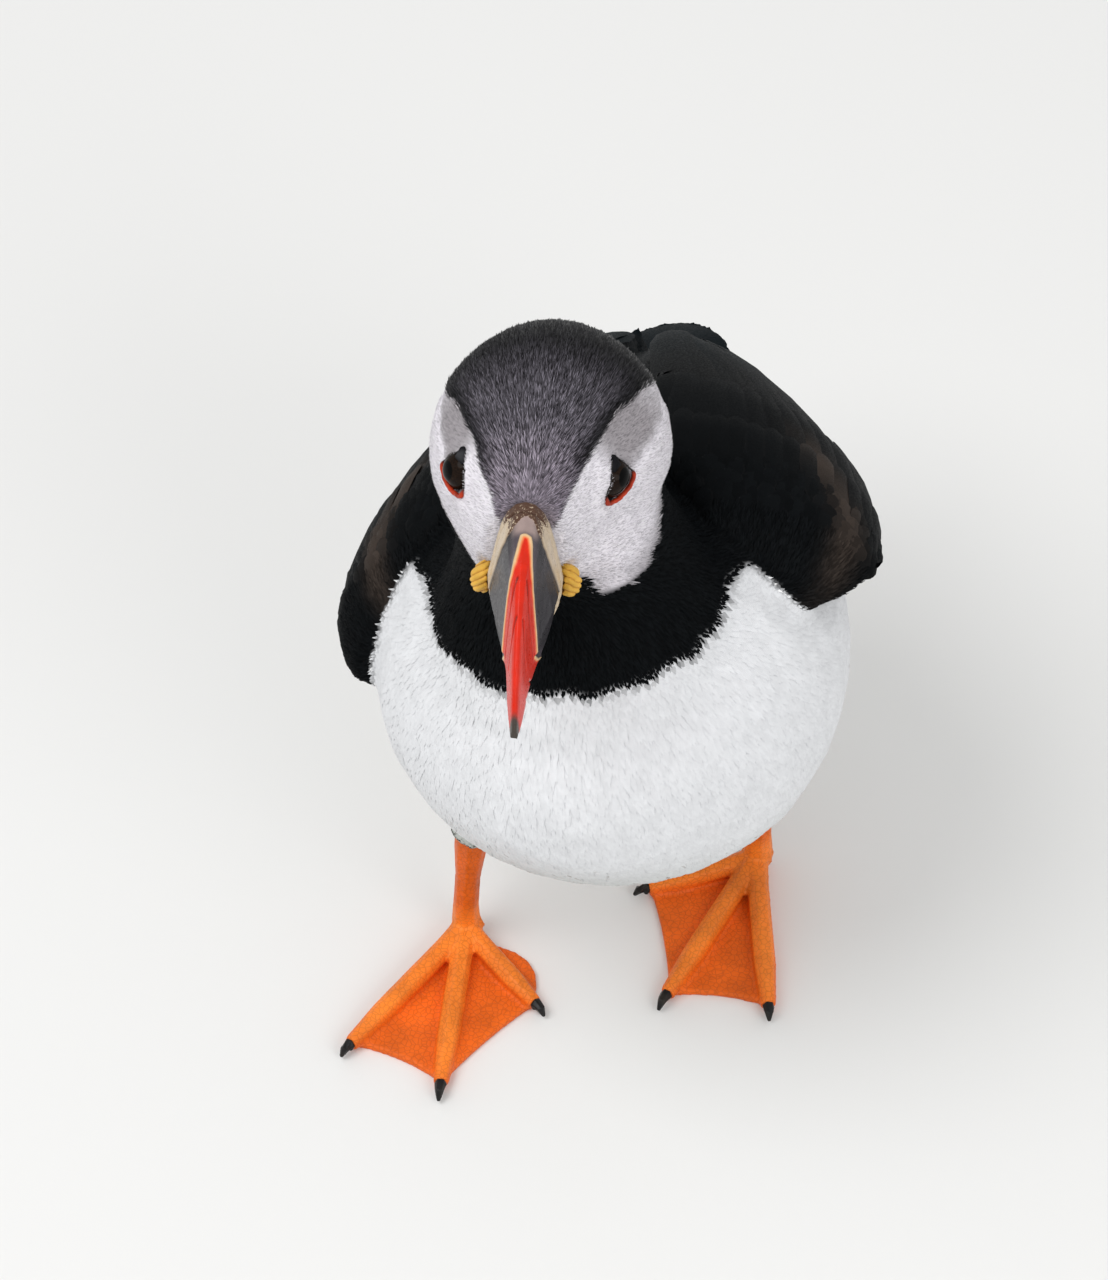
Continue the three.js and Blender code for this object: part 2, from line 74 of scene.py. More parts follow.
def localPlaces(points, matrix):
    # millimetres to the bird's left, ahead and up in one of its frames
    inverse = np.array(matrix.inverted())
    local = points @ inverse[:3, :3].T + inverse[:3, 3]
    return local * [1000, -1000, 1000]


def worldPlaces(local, matrix):
    forward = np.array(matrix)
    return (np.asarray(local, float) * [mm, -mm, mm]) @ forward[:3, :3].T + forward[:3, 3]


def worldWays(ways, matrix):
    forward = np.array(matrix)
    return (np.asarray(ways, float) * [1, -1, 1]) @ forward[:3, :3].T


def headPlaces(points):
    return localPlaces(points, headMatrix).T


def trunkPlaces(points):
    return localPlaces(points, trunkMatrix).T


def unit(vectors):
    length = np.linalg.norm(vectors, axis=-1, keepdims=True)
    return vectors / np.maximum(length, 1e-9)


def smooth(low, high, value):
    share = np.clip((value - low) / (high - low), 0, 1)
    return share * share * (3 - 2 * share)


def table(value, pairs):
    return np.interp(value, *np.array(pairs, float).T)

def bell(value, width):
    return np.exp(-((value / width) ** 2))


def blend(first, second, share):
    return np.asarray(first) * (1 - share[:, None]) + np.asarray(second) * share[:, None]


def layered(tint, *layers):
    # colours laid one over another, each by its own share
    for colour, share in layers:
        tint = blend(tint, colour, share)
    return tint


def ripple(points, size, seed=0):
    # soft noise from -1 to 1 that changes over the given size in millimetres
    total = np.zeros(len(points))
    for step in range(5):
        angle = 2.4 * step + seed
        way = np.array([math.cos(angle), math.sin(angle), math.cos(1.7 * angle + 1)])
        total += np.sin(points @ way * (1000 * (1 + 0.31 * step) / size) + 1.9 * step + seed)
    return total / 3.2


# Meshes and modifiers


def makeActive(piece):
    bpy.ops.object.select_all(action="DESELECT")
    piece.select_set(True)
    bpy.context.view_layer.objects.active = piece


def applyModifier(piece, kind, **settings):
    makeActive(piece)
    modifier = piece.modifiers.new(kind.title(), kind)
    for key, value in settings.items():
        setattr(modifier, key, value)
    bpy.ops.object.modifier_apply(modifier=modifier.name)


def nodeCopy(names, title):
    # one new object from the meshes of some nodes of the frame
    copies = []
    for name in names:
        piece = bpy.data.objects.new(title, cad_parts[name].data.copy())
        bpy.context.collection.objects.link(piece)
        copies.append(piece)
    makeActive(copies[0])
    for piece in copies:
        piece.select_set(True)
    if len(copies) > 1:
        bpy.ops.object.join()
    piece = bpy.context.object
    piece.data.materials.clear()
    bpy.ops.object.mode_set(mode="EDIT")
    bpy.ops.mesh.select_all(action="SELECT")
    bpy.ops.mesh.remove_doubles(threshold=0.02 * mm)
    bpy.ops.object.mode_set(mode="OBJECT")
    return piece


def remade(names, title, cell, passes, grow=0):
    # nodes made one closed mesh of even cells, grown and smoothed
    piece = nodeCopy(names, title)
    if grow:
        applyModifier(piece, "DISPLACE", strength=grow * mm, mid_level=0)
    applyModifier(piece, "REMESH", mode="VOXEL", voxel_size=cell * mm)
    applyModifier(piece, "SMOOTH", factor=0.5, iterations=passes)
    bpy.ops.object.shade_smooth()
    return piece


def readMesh(items, field, kind=np.float32):
    values = np.empty(len(items) * 3, kind)
    items.foreach_get(field, values)
    return values.reshape(-1, 3)


def placesOf(piece):
    return readMesh(piece.data.vertices, "co").astype(float)


def normalsOf(piece):
    return readMesh(piece.data.vertices, "normal").astype(float)


def trianglesOf(piece):
    piece.data.calc_loop_triangles()
    return readMesh(piece.data.loop_triangles, "vertices", np.int32)


def setPlaces(piece, places):
    piece.data.vertices.foreach_set("co", places.astype(np.float32).ravel())
    piece.data.update()


def settleAt(piece, places, matrix):
    # a small piece shaped at the origin, then placed by a matrix that goes into its mesh
    setPlaces(piece, places)
    piece.matrix_world = matrix
    bpy.ops.object.transform_apply(location=True, rotation=True, scale=True)
    bpy.ops.object.shade_smooth()


def paint(piece, name, colours):
    colours = np.asarray(colours, np.float32)
    if colours.ndim == 1:
        piece.data.attributes.new(name, "FLOAT", "POINT").data.foreach_set("value", colours)
    else:
        full = np.ones((len(colours), 4), np.float32)
        full[:, :3] = np.clip(colours, 0, 1)
        layer = piece.data.attributes.new(name, "FLOAT_COLOR", "POINT")
        layer.data.foreach_set("color", full.ravel())


def treeOf(piece):
    return BVHTree.FromPolygons(placesOf(piece).tolist(), trianglesOf(piece).tolist())


def finishPiece(piece, material, slot, replaces=()):
    piece.data.materials.clear()
    piece.data.materials.append(material)
    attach(piece, "root")
    if replaces:
        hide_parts(*replaces)


# Shader nodes


class Signal:
    def __init__(self, nodeTree, socket=None):
        self.nodeTree = nodeTree
        self.socket = socket

    def make(self, kind, settings=None, sockets=None, out=0):
        # a node with its settings, and then the values or links of its sockets
        node = self.nodeTree.nodes.new(kind)
        for key, value in (settings or {}).items():
            setattr(node, key, value)
        for key, value in (sockets or {}).items():
            if isinstance(value, Signal):
                self.nodeTree.links.new(value.socket, node.inputs[key])
            else:
                node.inputs[key].default_value = value
        return Signal(self.nodeTree, node.outputs[out])

    def maths(self, operation, first, second=0.0):
        return self.make("ShaderNodeMath", {"operation": operation}, {0: first, 1: second})

    def __add__(self, other):
        return self.maths("ADD", self, other)

    def __mul__(self, other):
        return self.maths("MULTIPLY", self, other)

    __radd__, __rmul__ = __add__, __mul__

    def __sub__(self, other):
        return self.maths("SUBTRACT", self, other)

    def __rsub__(self, other):
        return self.maths("SUBTRACT", other, self)

    def vectorMaths(self, operation, second=(0, 0, 0), out=0):
        settings = {"operation": operation}
        return self.make("ShaderNodeVectorMath", settings, {0: self, 1: second}, out)

    def mixed(self, first, second):
        # colours mixed by this signal as the factor
        return self.make("ShaderNodeMix", {"data_type": "RGBA"}, {0: self, 6: first, 7: second}, 2)

    def multiplied(self, other):
        # this colour multiplied by another
        settings = {"data_type": "RGBA", "blend_type": "MULTIPLY"}
        return self.make("ShaderNodeMix", settings, {0: 1.0, 6: self, 7: other}, 2)

    def fromTo(self, low, high, newLow=0.0, newHigh=1.0):
        sockets = {0: self, 1: low, 2: high, 3: newLow, 4: newHigh}
        return self.make("ShaderNodeMapRange", {"interpolation_type": "SMOOTHSTEP"}, sockets)

    def objectPlace(self):
        return self.make("ShaderNodeTexCoord", out=3)

    def noise(self, scale, detail=2.0, roughness=0.5):
        sockets = {"Scale": scale, "Detail": detail, "Roughness": roughness}
        return self.make("ShaderNodeTexNoise", None, {"Vector": self.objectPlace(), **sockets})

    def cellEdges(self, scale):
        sockets = {"Vector": self.objectPlace(), "Scale": scale}
        return self.make("ShaderNodeTexVoronoi", {"feature": "DISTANCE_TO_EDGE"}, sockets)

    def attribute(self, name, out=0):
        return self.make("ShaderNodeAttribute", {"attribute_name": name}, None, out)

    def bump(self, strength, distance):
        sockets = {"Height": self, "Strength": strength, "Distance": distance * mm}
        return self.make("ShaderNodeBump", None, sockets)


def newMaterial(name, constants, varying):
    # constants go on the shader's own sockets, varying is a function that returns links
    material = bpy.data.materials.new(name)
    material.use_nodes = True
    nodeTree = material.node_tree
    shader = nodeTree.nodes["Principled BSDF"]
    for key, value in constants.items():
        shader.inputs[key].default_value = value
    for key, signal in varying(Signal(nodeTree)).items():
        nodeTree.links.new(signal.socket, shader.inputs[key])
    return material


# Markings, with painted shade and a painted sheen among them. Colours are linear. The cap's half
# angle and the face's lower edge are degrees from the top of the head, at places ahead of the
# head's centre.
markings = {
    "capEdge": [
        (-27, 180), (-23, 120), (-18, 84), (-12, 63), (1, 46), (9, 39), (16, 35), (28, 31),
    ],
    "faceEdge": [
        (-23, 90), (-14, 101), (-4, 109), (4, 113), (10, 119), (16, 129), (20, 140), (24, 152),
        (28, 162),
    ],
    "collarHeight": [
        (-90, 85), (-80, 88.5), (-70, 94), (-60, 103), (-30, 121), (0, 134), (20, 138), (60, 140),
    ],
    "collarDips": (0.0012, 0.0022),  # how the edge dips to the left and to the right
    "creaseLine": [(-16, 7), (-9, 9.5), (-1, 9.2), (5, 7.6), (9, 5.6)],
    "degreeLength": 0.42,  # millimetres for a degree round the head
    "billTop": (28, 8),
    "capBase": (0.42, 0.34, 0.36),
    "capLow": (0.23, 0.20, 0.24),
    "capMiddle": (0.100, 0.092, 0.109),
    "capRim": (0.007, 0.007, 0.008),
    "face": (0.85, 0.82, 0.87),
    # painted shade along the face's lower edge, where the cheek turns under
    "faceEdgeShade": (0.34, 0.32, 0.34),
    "facePatch": (0.33, 0.305, 0.32),
    "white": (0.775, 0.785, 0.805),
    # grey-green white low on the body: painted shade with a painted green bounce light from below
    "shadedWhiteLow": (0.47, 0.495, 0.465),
    "black": (0.0040, 0.0048, 0.0055),
    # the rump's own black, tinted blue as a painted sheen
    "rump": (0.0035, 0.0065, 0.0085),
    "lowShadeHeights": (0.102, 0.050),  # heights in metres where shadedWhiteLow starts and is full
    "worn": (0.058, 0.044, 0.036),
    "wornPlace": 19,  # degrees above the wing's lower edge
    "wornWidth": 3.4,
}


def headMarks(points):
    # how far, in millimetres, a point lies inside the cap and inside the white face
    side, ahead, up = headPlaces(points)
    around = np.degrees(np.arctan2(np.abs(side), up))
    reach = markings["degreeLength"] * (1 - 0.25 * smooth(5, 28, ahead))
    ragged = 0.5 * ripple(points, 2.6)
    cap = (table(ahead, markings["capEdge"]) - around) * reach + ragged
    face = np.minimum(-cap, (table(ahead, markings["faceEdge"]) - around) * reach + ragged)
    return cap, face


def headShare(points):
    _, ahead, up = headPlaces(points)
    return smooth(-16, -14, up + 0.1 * ahead)


def collarGap(points):
    # millimetres above the edge between the white underparts and the black above them
    side, _, up = localPlaces(points, bodyMatrix).T
    edge = table(trunkPlaces(points)[1], markings["collarHeight"])
    edge = edge - np.where(side > 0, *markings["collarDips"]) * side**2
    return up - edge + 0.9 * ripple(points, 4) + 0.5 * ripple(points, 1.9, 5)


def fromBillTop(points):
    # millimetres from the top of the bill's base
    side, ahead, up = headPlaces(points)
    topAhead, topUp = markings["billTop"]
    return np.sqrt(side**2 + (ahead - topAhead) ** 2 + (up - topUp) ** 2)


def creaseShare(ahead, up, width, end):
    # the fold behind the eye, which fades out over 4 mm ahead of its end
    gap = up - table(ahead, markings["creaseLine"])
    return bell(gap, width) * smooth(-16, -8, ahead) * smooth(end + 4, end, ahead)


def capTint(points, cap):
    fromBill = fromBillTop(points)
    return layered(
        markings["capBase"],
        (markings["capLow"], smooth(1, 7, fromBill)),
        (markings["capMiddle"], smooth(7, 24, fromBill)),
        (markings["capRim"], 0.97 * smooth(25, 43, fromBill)),
        # the cap's sides darken near its edge: partly the cap's own black, partly painted shade
        # where the head turns from the light
        (markings["capRim"], 0.9 * smooth(5, 0.5, cap) * smooth(8, 19, fromBill)),
    )


def faceTint(points, cap, face):
    # white, with a grey patch over the crease behind the eye and painted shade along its lower edge
    side, ahead, up = headPlaces(points)
    patch = smooth(-2.4, 3.2, up - table(ahead, markings["creaseLine"]))
    patch = patch * smooth(-13, 2, ahead) * smooth(13.5, 8, ahead) * smooth(8, 13, np.abs(side))
    patch = np.maximum(0.9 * patch, 0.3 * creaseShare(ahead, up, 0.9, 6))
    # painted shade along the face's lower edge
    edge = 0.8 * smooth(2.6, -0.4, face) * smooth(2, 5, -cap)
    tint = blend(markings["face"], markings["facePatch"], patch)
    return blend(tint, markings["faceEdgeShade"], edge)


def plumageTint(points, wing):
    # the markings and painted shade of the whole bird, from a point's place at rest; wing is 1 on
    # the wings
    cap, face = headMarks(points)
    head = headShare(points)
    trunkSide, trunkAhead, trunkUp = trunkPlaces(points)
    dark = np.maximum(smooth(-0.9, 0.9, collarGap(points)), smooth(-86, -90, trunkAhead))
    # the white turns grey-green towards the bottom: painted shade with a painted green bounce light
    low = smooth(*markings["lowShadeHeights"], points[:, 2])
    white = blend(markings["white"], markings["shadedWhiteLow"], low)
    # towards the tail the black takes a painted bluish sheen
    black = blend(markings["black"], markings["rump"], smooth(-40, -75, trunkAhead))
    tint = layered(
        blend(white, black, dark),
        (faceTint(points, cap, face), smooth(-0.4, 0.4, face) * head),
        (capTint(points, cap), smooth(-0.4, 0.4, cap) * head),
        (eyes["lid"], smooth(-0.3, 0.3, insideEye(points))),
    )
    # the worn band runs along each wing, above its lower edge
    turn = np.degrees(np.arctan2(trunkUp, np.abs(trunkSide)))
    fromBand = turn - (14 - 0.35 * trunkAhead) - markings["wornPlace"]
    band = smooth(-26, -10, trunkAhead) * smooth(22, 16, trunkAhead)
    band = band * bell(fromBand, markings["wornWidth"]) * (0.7 + 0.3 * ripple(points, 9, 3))
    return blend(tint, blend(black, markings["worn"], band), wing)


# The outline of an open eye is (ahead, up) of its middle in millimetres, seen along the axis.
eyes = {
    "axis": (0.85, 0.42, 0.30),
    "outline": [
        (1.3, 5.7), (2.9, 3.1), (4.1, 0.4), (4.9, -2.0), (4.7, -3.8), (2.3, -4.4),
        (-1.0, -4.1), (-3.3, -2.9), (-4.7, -1.1), (-2.8, 0.9), (-1.2, 2.4), (0.2, 4.4),
    ],
    "middle": (0.9, -0.8),
    "shift": {"left": (-0.6, -0.6), "right": (0.7, 0.5)},
    "flatness": 0.86,
    "cornea": 0.35,
    "ringTube": 0.5,
    "iris": (0.008, 0.005, 0.004, 1),
    "irisRays": (0.018, 0.010, 0.006, 1),
    "pupil": (0.002, 0.002, 0.002, 1),
    "ring": (0.52, 0.042, 0.010),
    "lid": (0.012, 0.010, 0.010),
    "plate": (0.010, 0.010, 0.012),
    "platePatch": (0.05, 0.05, 0.055),
    "ringShade": (0.15, 0.012, 0.006),
    "upperPlate": (1.5, 3.9),
    "plateReach": 2.0,
    "plateDepth": 1.5,
    "plateStretch": 1.2,
    "plateLevel": 2.6,
}
hands = {"left": 1, "right": -1}


def eyeFrame(name):
    # the eye's frame: x back on the left and ahead on the right, y up, z out along its axis
    low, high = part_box(f"eye_{name}")
    axis = np.array(eyes["axis"]) * [hands[name], 1, 1]
    axis = Vector(worldWays(axis, headMatrix)).normalized()
    upwards = Vector(worldWays([0, -0.25, 1], headMatrix))
    upwards = (upwards - axis * upwards.dot(axis)).normalized()
    matrix = Matrix((upwards.cross(axis), upwards, axis)).transposed().to_4x4()
    matrix.translation = (low + high) / 2
    return matrix


eyeFrames = {name: eyeFrame(name) for name in hands}
outline = np.array(eyes["outline"]) - eyes["middle"]
outlineTurns = np.arctan2(outline[:, 1], outline[:, 0])
outlineReaches = np.hypot(outline[:, 0], outline[:, 1])


def outlineReach(turn):
    return np.interp(turn, outlineTurns, outlineReaches, period=2 * math.pi)


def insideEye(points):
    # how far, in millimetres, a point lies inside the outline of either eye
    inside = np.full(len(points), -30.0)
    for name, hand in hands.items():
        inverse = np.array(eyeFrames[name].inverted())
        local = (points @ inverse[:3, :3].T + inverse[:3, 3]) * 1000
        middle = np.add(eyes["middle"], eyes["shift"][name])
        ahead, up = -hand * local[:, 0] - middle[0], local[:, 1] - middle[1]
        gap = outlineReach(np.arctan2(up, ahead)) - np.hypot(ahead, up)
        inside = np.where(local[:, 2] > 0, np.maximum(inside, gap), inside)
    return inside


# The skin, which takes the place of the flesh and is laid in by the coat's depth
flesh = {
    "cell": 1.0,
    "grow": 0.5,
    "smoothing": 9,
    "bodyDepth": 1.0,
    "headDepth": 0.5,
    "wingDepth": 0.35,
    "eyeFront": [(0, 14.6), (3, 15.0), (9, 13.9), (13, 10.7)],
    "ridge": 0.5,
    "ridgePlace": 1.3,
    "ridgeWidth": 1.7,
    "socket": 1.6,
    "crease": 0.6,
    "tailTaper": 0.45,
}
fleshNodes = ["head", "neck", "trunk", "mantle", "tail"]
for name in hands:
    fleshNodes += [f"wing_{name}", f"wing_tip_{name}", f"thigh_{name}"]

skinNodes = fleshNodes + ["eye_left", "eye_right"]
skin = remade(skinNodes, "skin", flesh["cell"], flesh["smoothing"], flesh["grow"])
wingNodes = [name for name in fleshNodes if "wing" in name]
wingTree = treeOf(nodeCopy(wingNodes, "wingGuide"))
trunkTree = treeOf(nodeCopy([name for name in fleshNodes if name not in wingNodes], "trunkGuide"))


def wingShare(points):
    found = np.empty(len(points))
    for i, point in enumerate(points.tolist()):
        found[i] = trunkTree.find_nearest(point)[3] - wingTree.find_nearest(point)[3]
    return smooth(-0.3 * mm, 0.3 * mm, found)


skinPlaces = placesOf(skin)
skinWing = wingShare(skinPlaces)
onHead = headShare(skinPlaces)
depth = flesh["bodyDepth"] + (flesh["headDepth"] - flesh["bodyDepth"]) * onHead
depth = depth + (flesh["wingDepth"] - depth) * skinWing + flesh["grow"]
side, ahead, up = headPlaces(skinPlaces)
aside = smooth(7, 11, np.abs(side)) * smooth(-30, -20, up)
fromRidge = ahead - table(up, flesh["eyeFront"]) - flesh["ridgePlace"]
ridge = bell(fromRidge, flesh["ridgeWidth"]) * smooth(-2, 2, up) * smooth(15, 11, up)
relief = flesh["ridge"] * ridge
relief = relief - flesh["socket"] * smooth(-0.2, 1.0, insideEye(skinPlaces))
relief = relief - flesh["crease"] * creaseShare(ahead, up, 1.3, 5)
skinPlaces = skinPlaces - normalsOf(skin) * ((depth - relief * aside) * mm)[:, None]
tailPlaces = localPlaces(skinPlaces, trunkMatrix)
tailPlaces[:, 0] *= 1 - flesh["tailTaper"] * smooth(-100, -119, tailPlaces[:, 1])
setPlaces(skin, worldPlaces(tailPlaces, trunkMatrix))
print("skin:", len(skin.data.polygons), "faces")

skinTree = treeOf(skin)
skinPlaces = placesOf(skin)
skinNormals = normalsOf(skin)
skinTriangles = trianglesOf(skin)
paint(skin, "tint", plumageTint(skinPlaces, skinWing))
for guide in ("wingGuide", "trunkGuide"):
    bpy.data.objects.remove(bpy.data.objects[guide])


def besideWing(points, low, high):
    # a tuft's share of its length, growing from low at the wing's edge to 1 at high millimetres
    gaps = [wingTree.find_nearest(point)[3] * 1000 for point in points.tolist()]
    return low + (1 - low) * smooth(0, high, np.array(gaps))


headCentre = worldPlaces([0, 0, 0], headMatrix)
tailWay = worldWays([0, -1, 0], trunkMatrix)


def lieOfCoat(points, normals, wing):
    # the way that feathers point: out from the bill, down the neck and back to the tail
    up = headPlaces(points)[2]
    billLine = np.stack([0 * up, 0 * up + 31, np.clip(up, -16, 12)], 1)
    fromBill = unit(points - worldPlaces(billLine, headMatrix))
    fromHead = unit(points - headCentre)
    trunkSide, trunkAhead, _ = trunkPlaces(points)
    front = (smooth(-35, 48, trunkAhead) * (1 - wing))[:, None]
    ways = fromHead * front + tailWay * (1.15 - front)
    leg = (smooth(62, 50, 1000 * points[:, 2]) * smooth(14, 22, np.abs(trunkSide)))[:, None]
    ways = ways + leg * [0, 0, -1.5]
    onHead = smooth(-30, -8, up)[:, None]
    ways = ways * (1 - onHead) + fromBill * onHead
    ways = ways - (ways * normals).sum(1, keepdims=True) * normals
    return unit(ways)


def only(keep, *values):
    return tuple(value[keep] for value in values)


def scatter(spacing, chosen, keeps=None):
    # places on the skin about a spacing apart, where chosen(points, wing) gives true, less
    # those where keeps(points, normals) gives false
    corners = skinPlaces[skinTriangles]
    inside = np.nonzero(chosen(corners.mean(1), skinWing[skinTriangles].mean(1)))[0]
    corners = corners[inside]
    edges = corners[:, 1:] - corners[:, :1]
    areas = np.linalg.norm(np.cross(edges[:, 0], edges[:, 1]), axis=1) / 2
    crowding = 5  # tries for each cell of the spacing
    count = int(crowding * areas.sum() / (spacing * mm) ** 2)
    picked = random.choice(len(inside), count, p=areas / areas.sum())
    shares = random.random((count, 2))
    over = shares.sum(1) > 1
    shares[over] = 1 - shares[over]
    weights = np.stack([1 - shares.sum(1), shares[:, 0], shares[:, 1]], 1)
    points = (corners[picked] * weights[:, :, None]).sum(1)
    rings = skinTriangles[inside[picked]]
    normals = unit((skinNormals[rings] * weights[:, :, None]).sum(1))
    wing = (skinWing[rings] * weights).sum(1)
    # one place is kept in each cell, which large primes give a number of its own
    keys = np.floor(points / (spacing * mm)).astype(np.int64)
    _, first = np.unique(keys @ [73856093, 19349663, 83492791], return_index=True)
    first = np.sort(first)
    found = points[first], normals[first], wing[first]
    return only(keeps(*found[:2]), *found) if keeps else found


def exposed(points, normals, start=0.4, reach=8):
    # true where no skin stands over a place, from start to reach in millimetres
    clear = np.ones(len(points), bool)
    for i, (point, normal) in enumerate(zip(points + normals * start * mm, normals)):
        clear[i] = skinTree.ray_cast(Vector(point), Vector(normal), reach * mm)[0] is None
    return clear


def unwrapped(points, part):
    # each place on an unrolled map of the head or the trunk, filled out to the whole square
    side, ahead, up = headPlaces(points) if part == "head" else trunkPlaces(points)
    flat = np.stack([np.arctan2(side, -up if part == "trunk" else up), ahead], 1)
    low, high = flat.min(0), flat.max(0)
    return 0.01 + 0.98 * (flat - low) / (high - low)


def plumes(title, roots, spines, sides, overs, widths, heights, lengths, look, tints):
    # many closed feathers in one mesh. spines holds ring places, N x rings x 3, and the last
    # ring is drawn to a point. The section is each ring's outline as (across, over) pairs.
    count, rings = spines.shape[:2]
    section = np.array(look["section"], float)
    around = len(section)
    outer = section[:, 0][None, None, :, None]
    across = outer * widths[:, :, None, None] * mm
    over = section[:, 1][None, None, :, None] * heights[:, :, None, None] * mm
    body = spines[:, :, None] + sides[:, :, None] * across + overs[:, :, None] * over
    points = np.concatenate([body[:, :-1].reshape(count, -1, 3), spines[:, -1:]], 1)
    lean = sides[:, :, None] * outer * look["spread"]
    faceWays = unit(overs[:, :, None] + lean)
    faceWays = np.concatenate([faceWays[:, :-1].reshape(count, -1, 3), overs[:, -1:]], 1)
    each = points.shape[1]
    faces = []
    for ring in range(rings - 2):
        for k in range(around):
            a, b = ring * around + k, ring * around + (k + 1) % around
            faces += [(a, b + around, b), (a, a + around, b + around)]
    last = (rings - 2) * around
    faces += [(last + (k + 1) % around, last + k, each - 1) for k in range(around)]
    faces += [(0, k, k + 1) for k in range(1, around - 1)]
    faces = np.array(faces, np.int32)
    corners = (faces[None] + (np.arange(count, dtype=np.int32) * each)[:, None, None]).reshape(-1)
    mesh = bpy.data.meshes.new(title)
    mesh.vertices.add(count * each)
    mesh.vertices.foreach_set("co", points.astype(np.float32).ravel())
    mesh.loops.add(len(corners))
    mesh.loops.foreach_set("vertex_index", corners)
    mesh.polygons.add(len(corners) // 3)
    mesh.polygons.foreach_set("loop_start", np.arange(0, len(corners), 3, dtype=np.int32))
    mesh.polygons.foreach_set("use_smooth", np.ones(len(corners) // 3, bool))
    alongEach = np.append(np.repeat(look["along"][:-1], around), 1.0)
    acrossEach = np.append(np.tile(section[:, 0] + 0.5, rings - 1), 0.5)
    vane = np.stack([np.tile(acrossEach, (count, 1)), alongEach[None] * lengths[:, None] / 10], 2)
    mapShare = 0.003  # a feather's size on the map
    patch = np.stack([acrossEach - 0.5, alongEach - 0.5], 1) * mapShare
    patch = (patch[None] + unwrapped(roots, look["map"])[:, None]).reshape(-1, 2)
    for name, places in (("OFBake", patch), ("vane", vane.reshape(-1, 2))):
        layer = mesh.uv_layers.new(name=name)
        layer.data.foreach_set("uv", places[corners].astype(np.float32).ravel())
    mesh.update(calc_edges=True)
    # each face is lit along the feather's own way out, turned round on its underside
    triangles = corners.reshape(-1, 3)
    places = points.reshape(-1, 3)[triangles]
    facing = np.cross(places[:, 1] - places[:, 0], places[:, 2] - places[:, 0])
    lit = faceWays.reshape(-1, 3)[triangles]
    lit *= np.where((facing * lit.sum(1)).sum(1) < 0, -1, 1)[:, None, None]
    mesh.normals_split_custom_set(lit.reshape(-1, 3).astype(np.float32))
    piece = bpy.data.objects.new(title, mesh)
    bpy.context.collection.objects.link(piece)
    # each feather runs from painted shade at its root to a painted highlight at its tip
    fades = tints[1][:, None] + (tints[2] - tints[1])[:, None] * alongEach
    base = tints[0] if tints[0].ndim == 3 else np.repeat(tints[0][:, None], rings, 1)
    base = np.concatenate([np.repeat(base[:, :-1], around, 1), base[:, -1:]], 1)
    paint(piece, "tint", (base * fades[:, :, None]).reshape(-1, 3))
    finishPiece(piece, *look["finish"])
    print(f"{title}: {count} feathers, {len(faces) * count} triangles")


def settled(spines, lifts):
    # rings moved to stand their lift off the nearest skin, and the ways out of the skin there
    places, ways = spines.reshape(-1, 3).copy(), np.zeros((spines.shape[0] * spines.shape[1], 3))
    for i, (place, lift) in enumerate(zip(places.tolist(), lifts.ravel().tolist())):
        spot, way, *_ = skinTree.find_nearest(place)
        places[i] = spot + way * (lift * mm)
        ways[i] = way
    return places.reshape(spines.shape), ways.reshape(spines.shape)


def rolled(sides, overs, roll):
    return unit(sides + overs * roll), unit(overs - sides * roll)


def tufts(title, found, look, tints):
    # tufts or small feathers that lie along the skin and follow its roundness
    roots, normals, wing = found
    count = len(roots)
    rings = np.array(look["rings"])
    look = dict(look, along=rings[:, 0])
    ways = lieOfCoat(roots, normals, wing)
    sides = unit(np.cross(normals, ways))
    ways = unit(ways + sides * random.normal(0, look["stray"], count)[:, None])
    sides = unit(np.cross(normals, ways))
    length = look["length"] * random.uniform(*look["lengths"], count)
    along = length[:, None] * rings[:, 0]
    rises = random.uniform(*look["rises"], count)[:, None]
    rise = look["rise"] * rings[:, 0] ** look["lift"] * rises
    lifts = rise - look["sink"] * (rings[:, 0] == 0)
    overs = np.repeat(normals[:, None], len(rings), 1)
    if look["roundness"]:
        up = lifts - along**2 / (2 * look["roundness"])
        spines = ways[:, None] * along[:, :, None] + normals[:, None] * up[:, :, None]
        spines = roots[:, None] + spines * mm
    else:
        straight = ways[:, None] * along[:, :, None] * mm
        spines, overs = settled(roots[:, None] + straight, lifts)
        overs = unit(overs + 0.6 * normals[:, None])
        # a feather that would jump across a gap is kept short and straight instead
        jumps = np.linalg.norm(np.diff(spines, axis=1), axis=2) - np.diff(along, axis=1) * mm
        torn = jumps.max(1) > look["gap"] * mm
        short = roots[:, None] + 0.4 * straight + normals[:, None] * lifts[:, :, None] * mm
        spines[torn], overs[torn] = short[torn], normals[torn, None]
    sides = unit(np.repeat(sides[:, None], len(rings), 1))
    sides = unit(sides - (sides * overs).sum(2, keepdims=True) * overs)
    sides, overs = rolled(sides, overs, look["roll"] * random.choice([-1, 1], count)[:, None, None])
    widths = np.reshape(look["width"], (-1, 1)) * rings[:, 1]
    widths = widths * random.uniform(*look["widths"], count)[:, None]
    heights = np.maximum(widths * look["thickness"], look["leastThickness"])
    plumes(title, roots, spines, sides, overs, widths, heights, length, look, tints)


def shortened(look, share, least=0.5):
    # the same tufts, shorter where a share of 0 to 1 is low
    return dict(look, length=look["length"] * (least + (1 - least) * share))


def shades(points, wing, low, high, root=0.8, tip=1.1, skew=1):
    # each tuft's tint and random tone, darker at the root as painted shade, lighter at the tip as
    # painted highlight
    tone = (low + (high - low) * random.random(len(points)) ** skew)[:, None]
    return plumageTint(points, wing) * tone, np.full(len(points), root), np.full(len(points), tip)


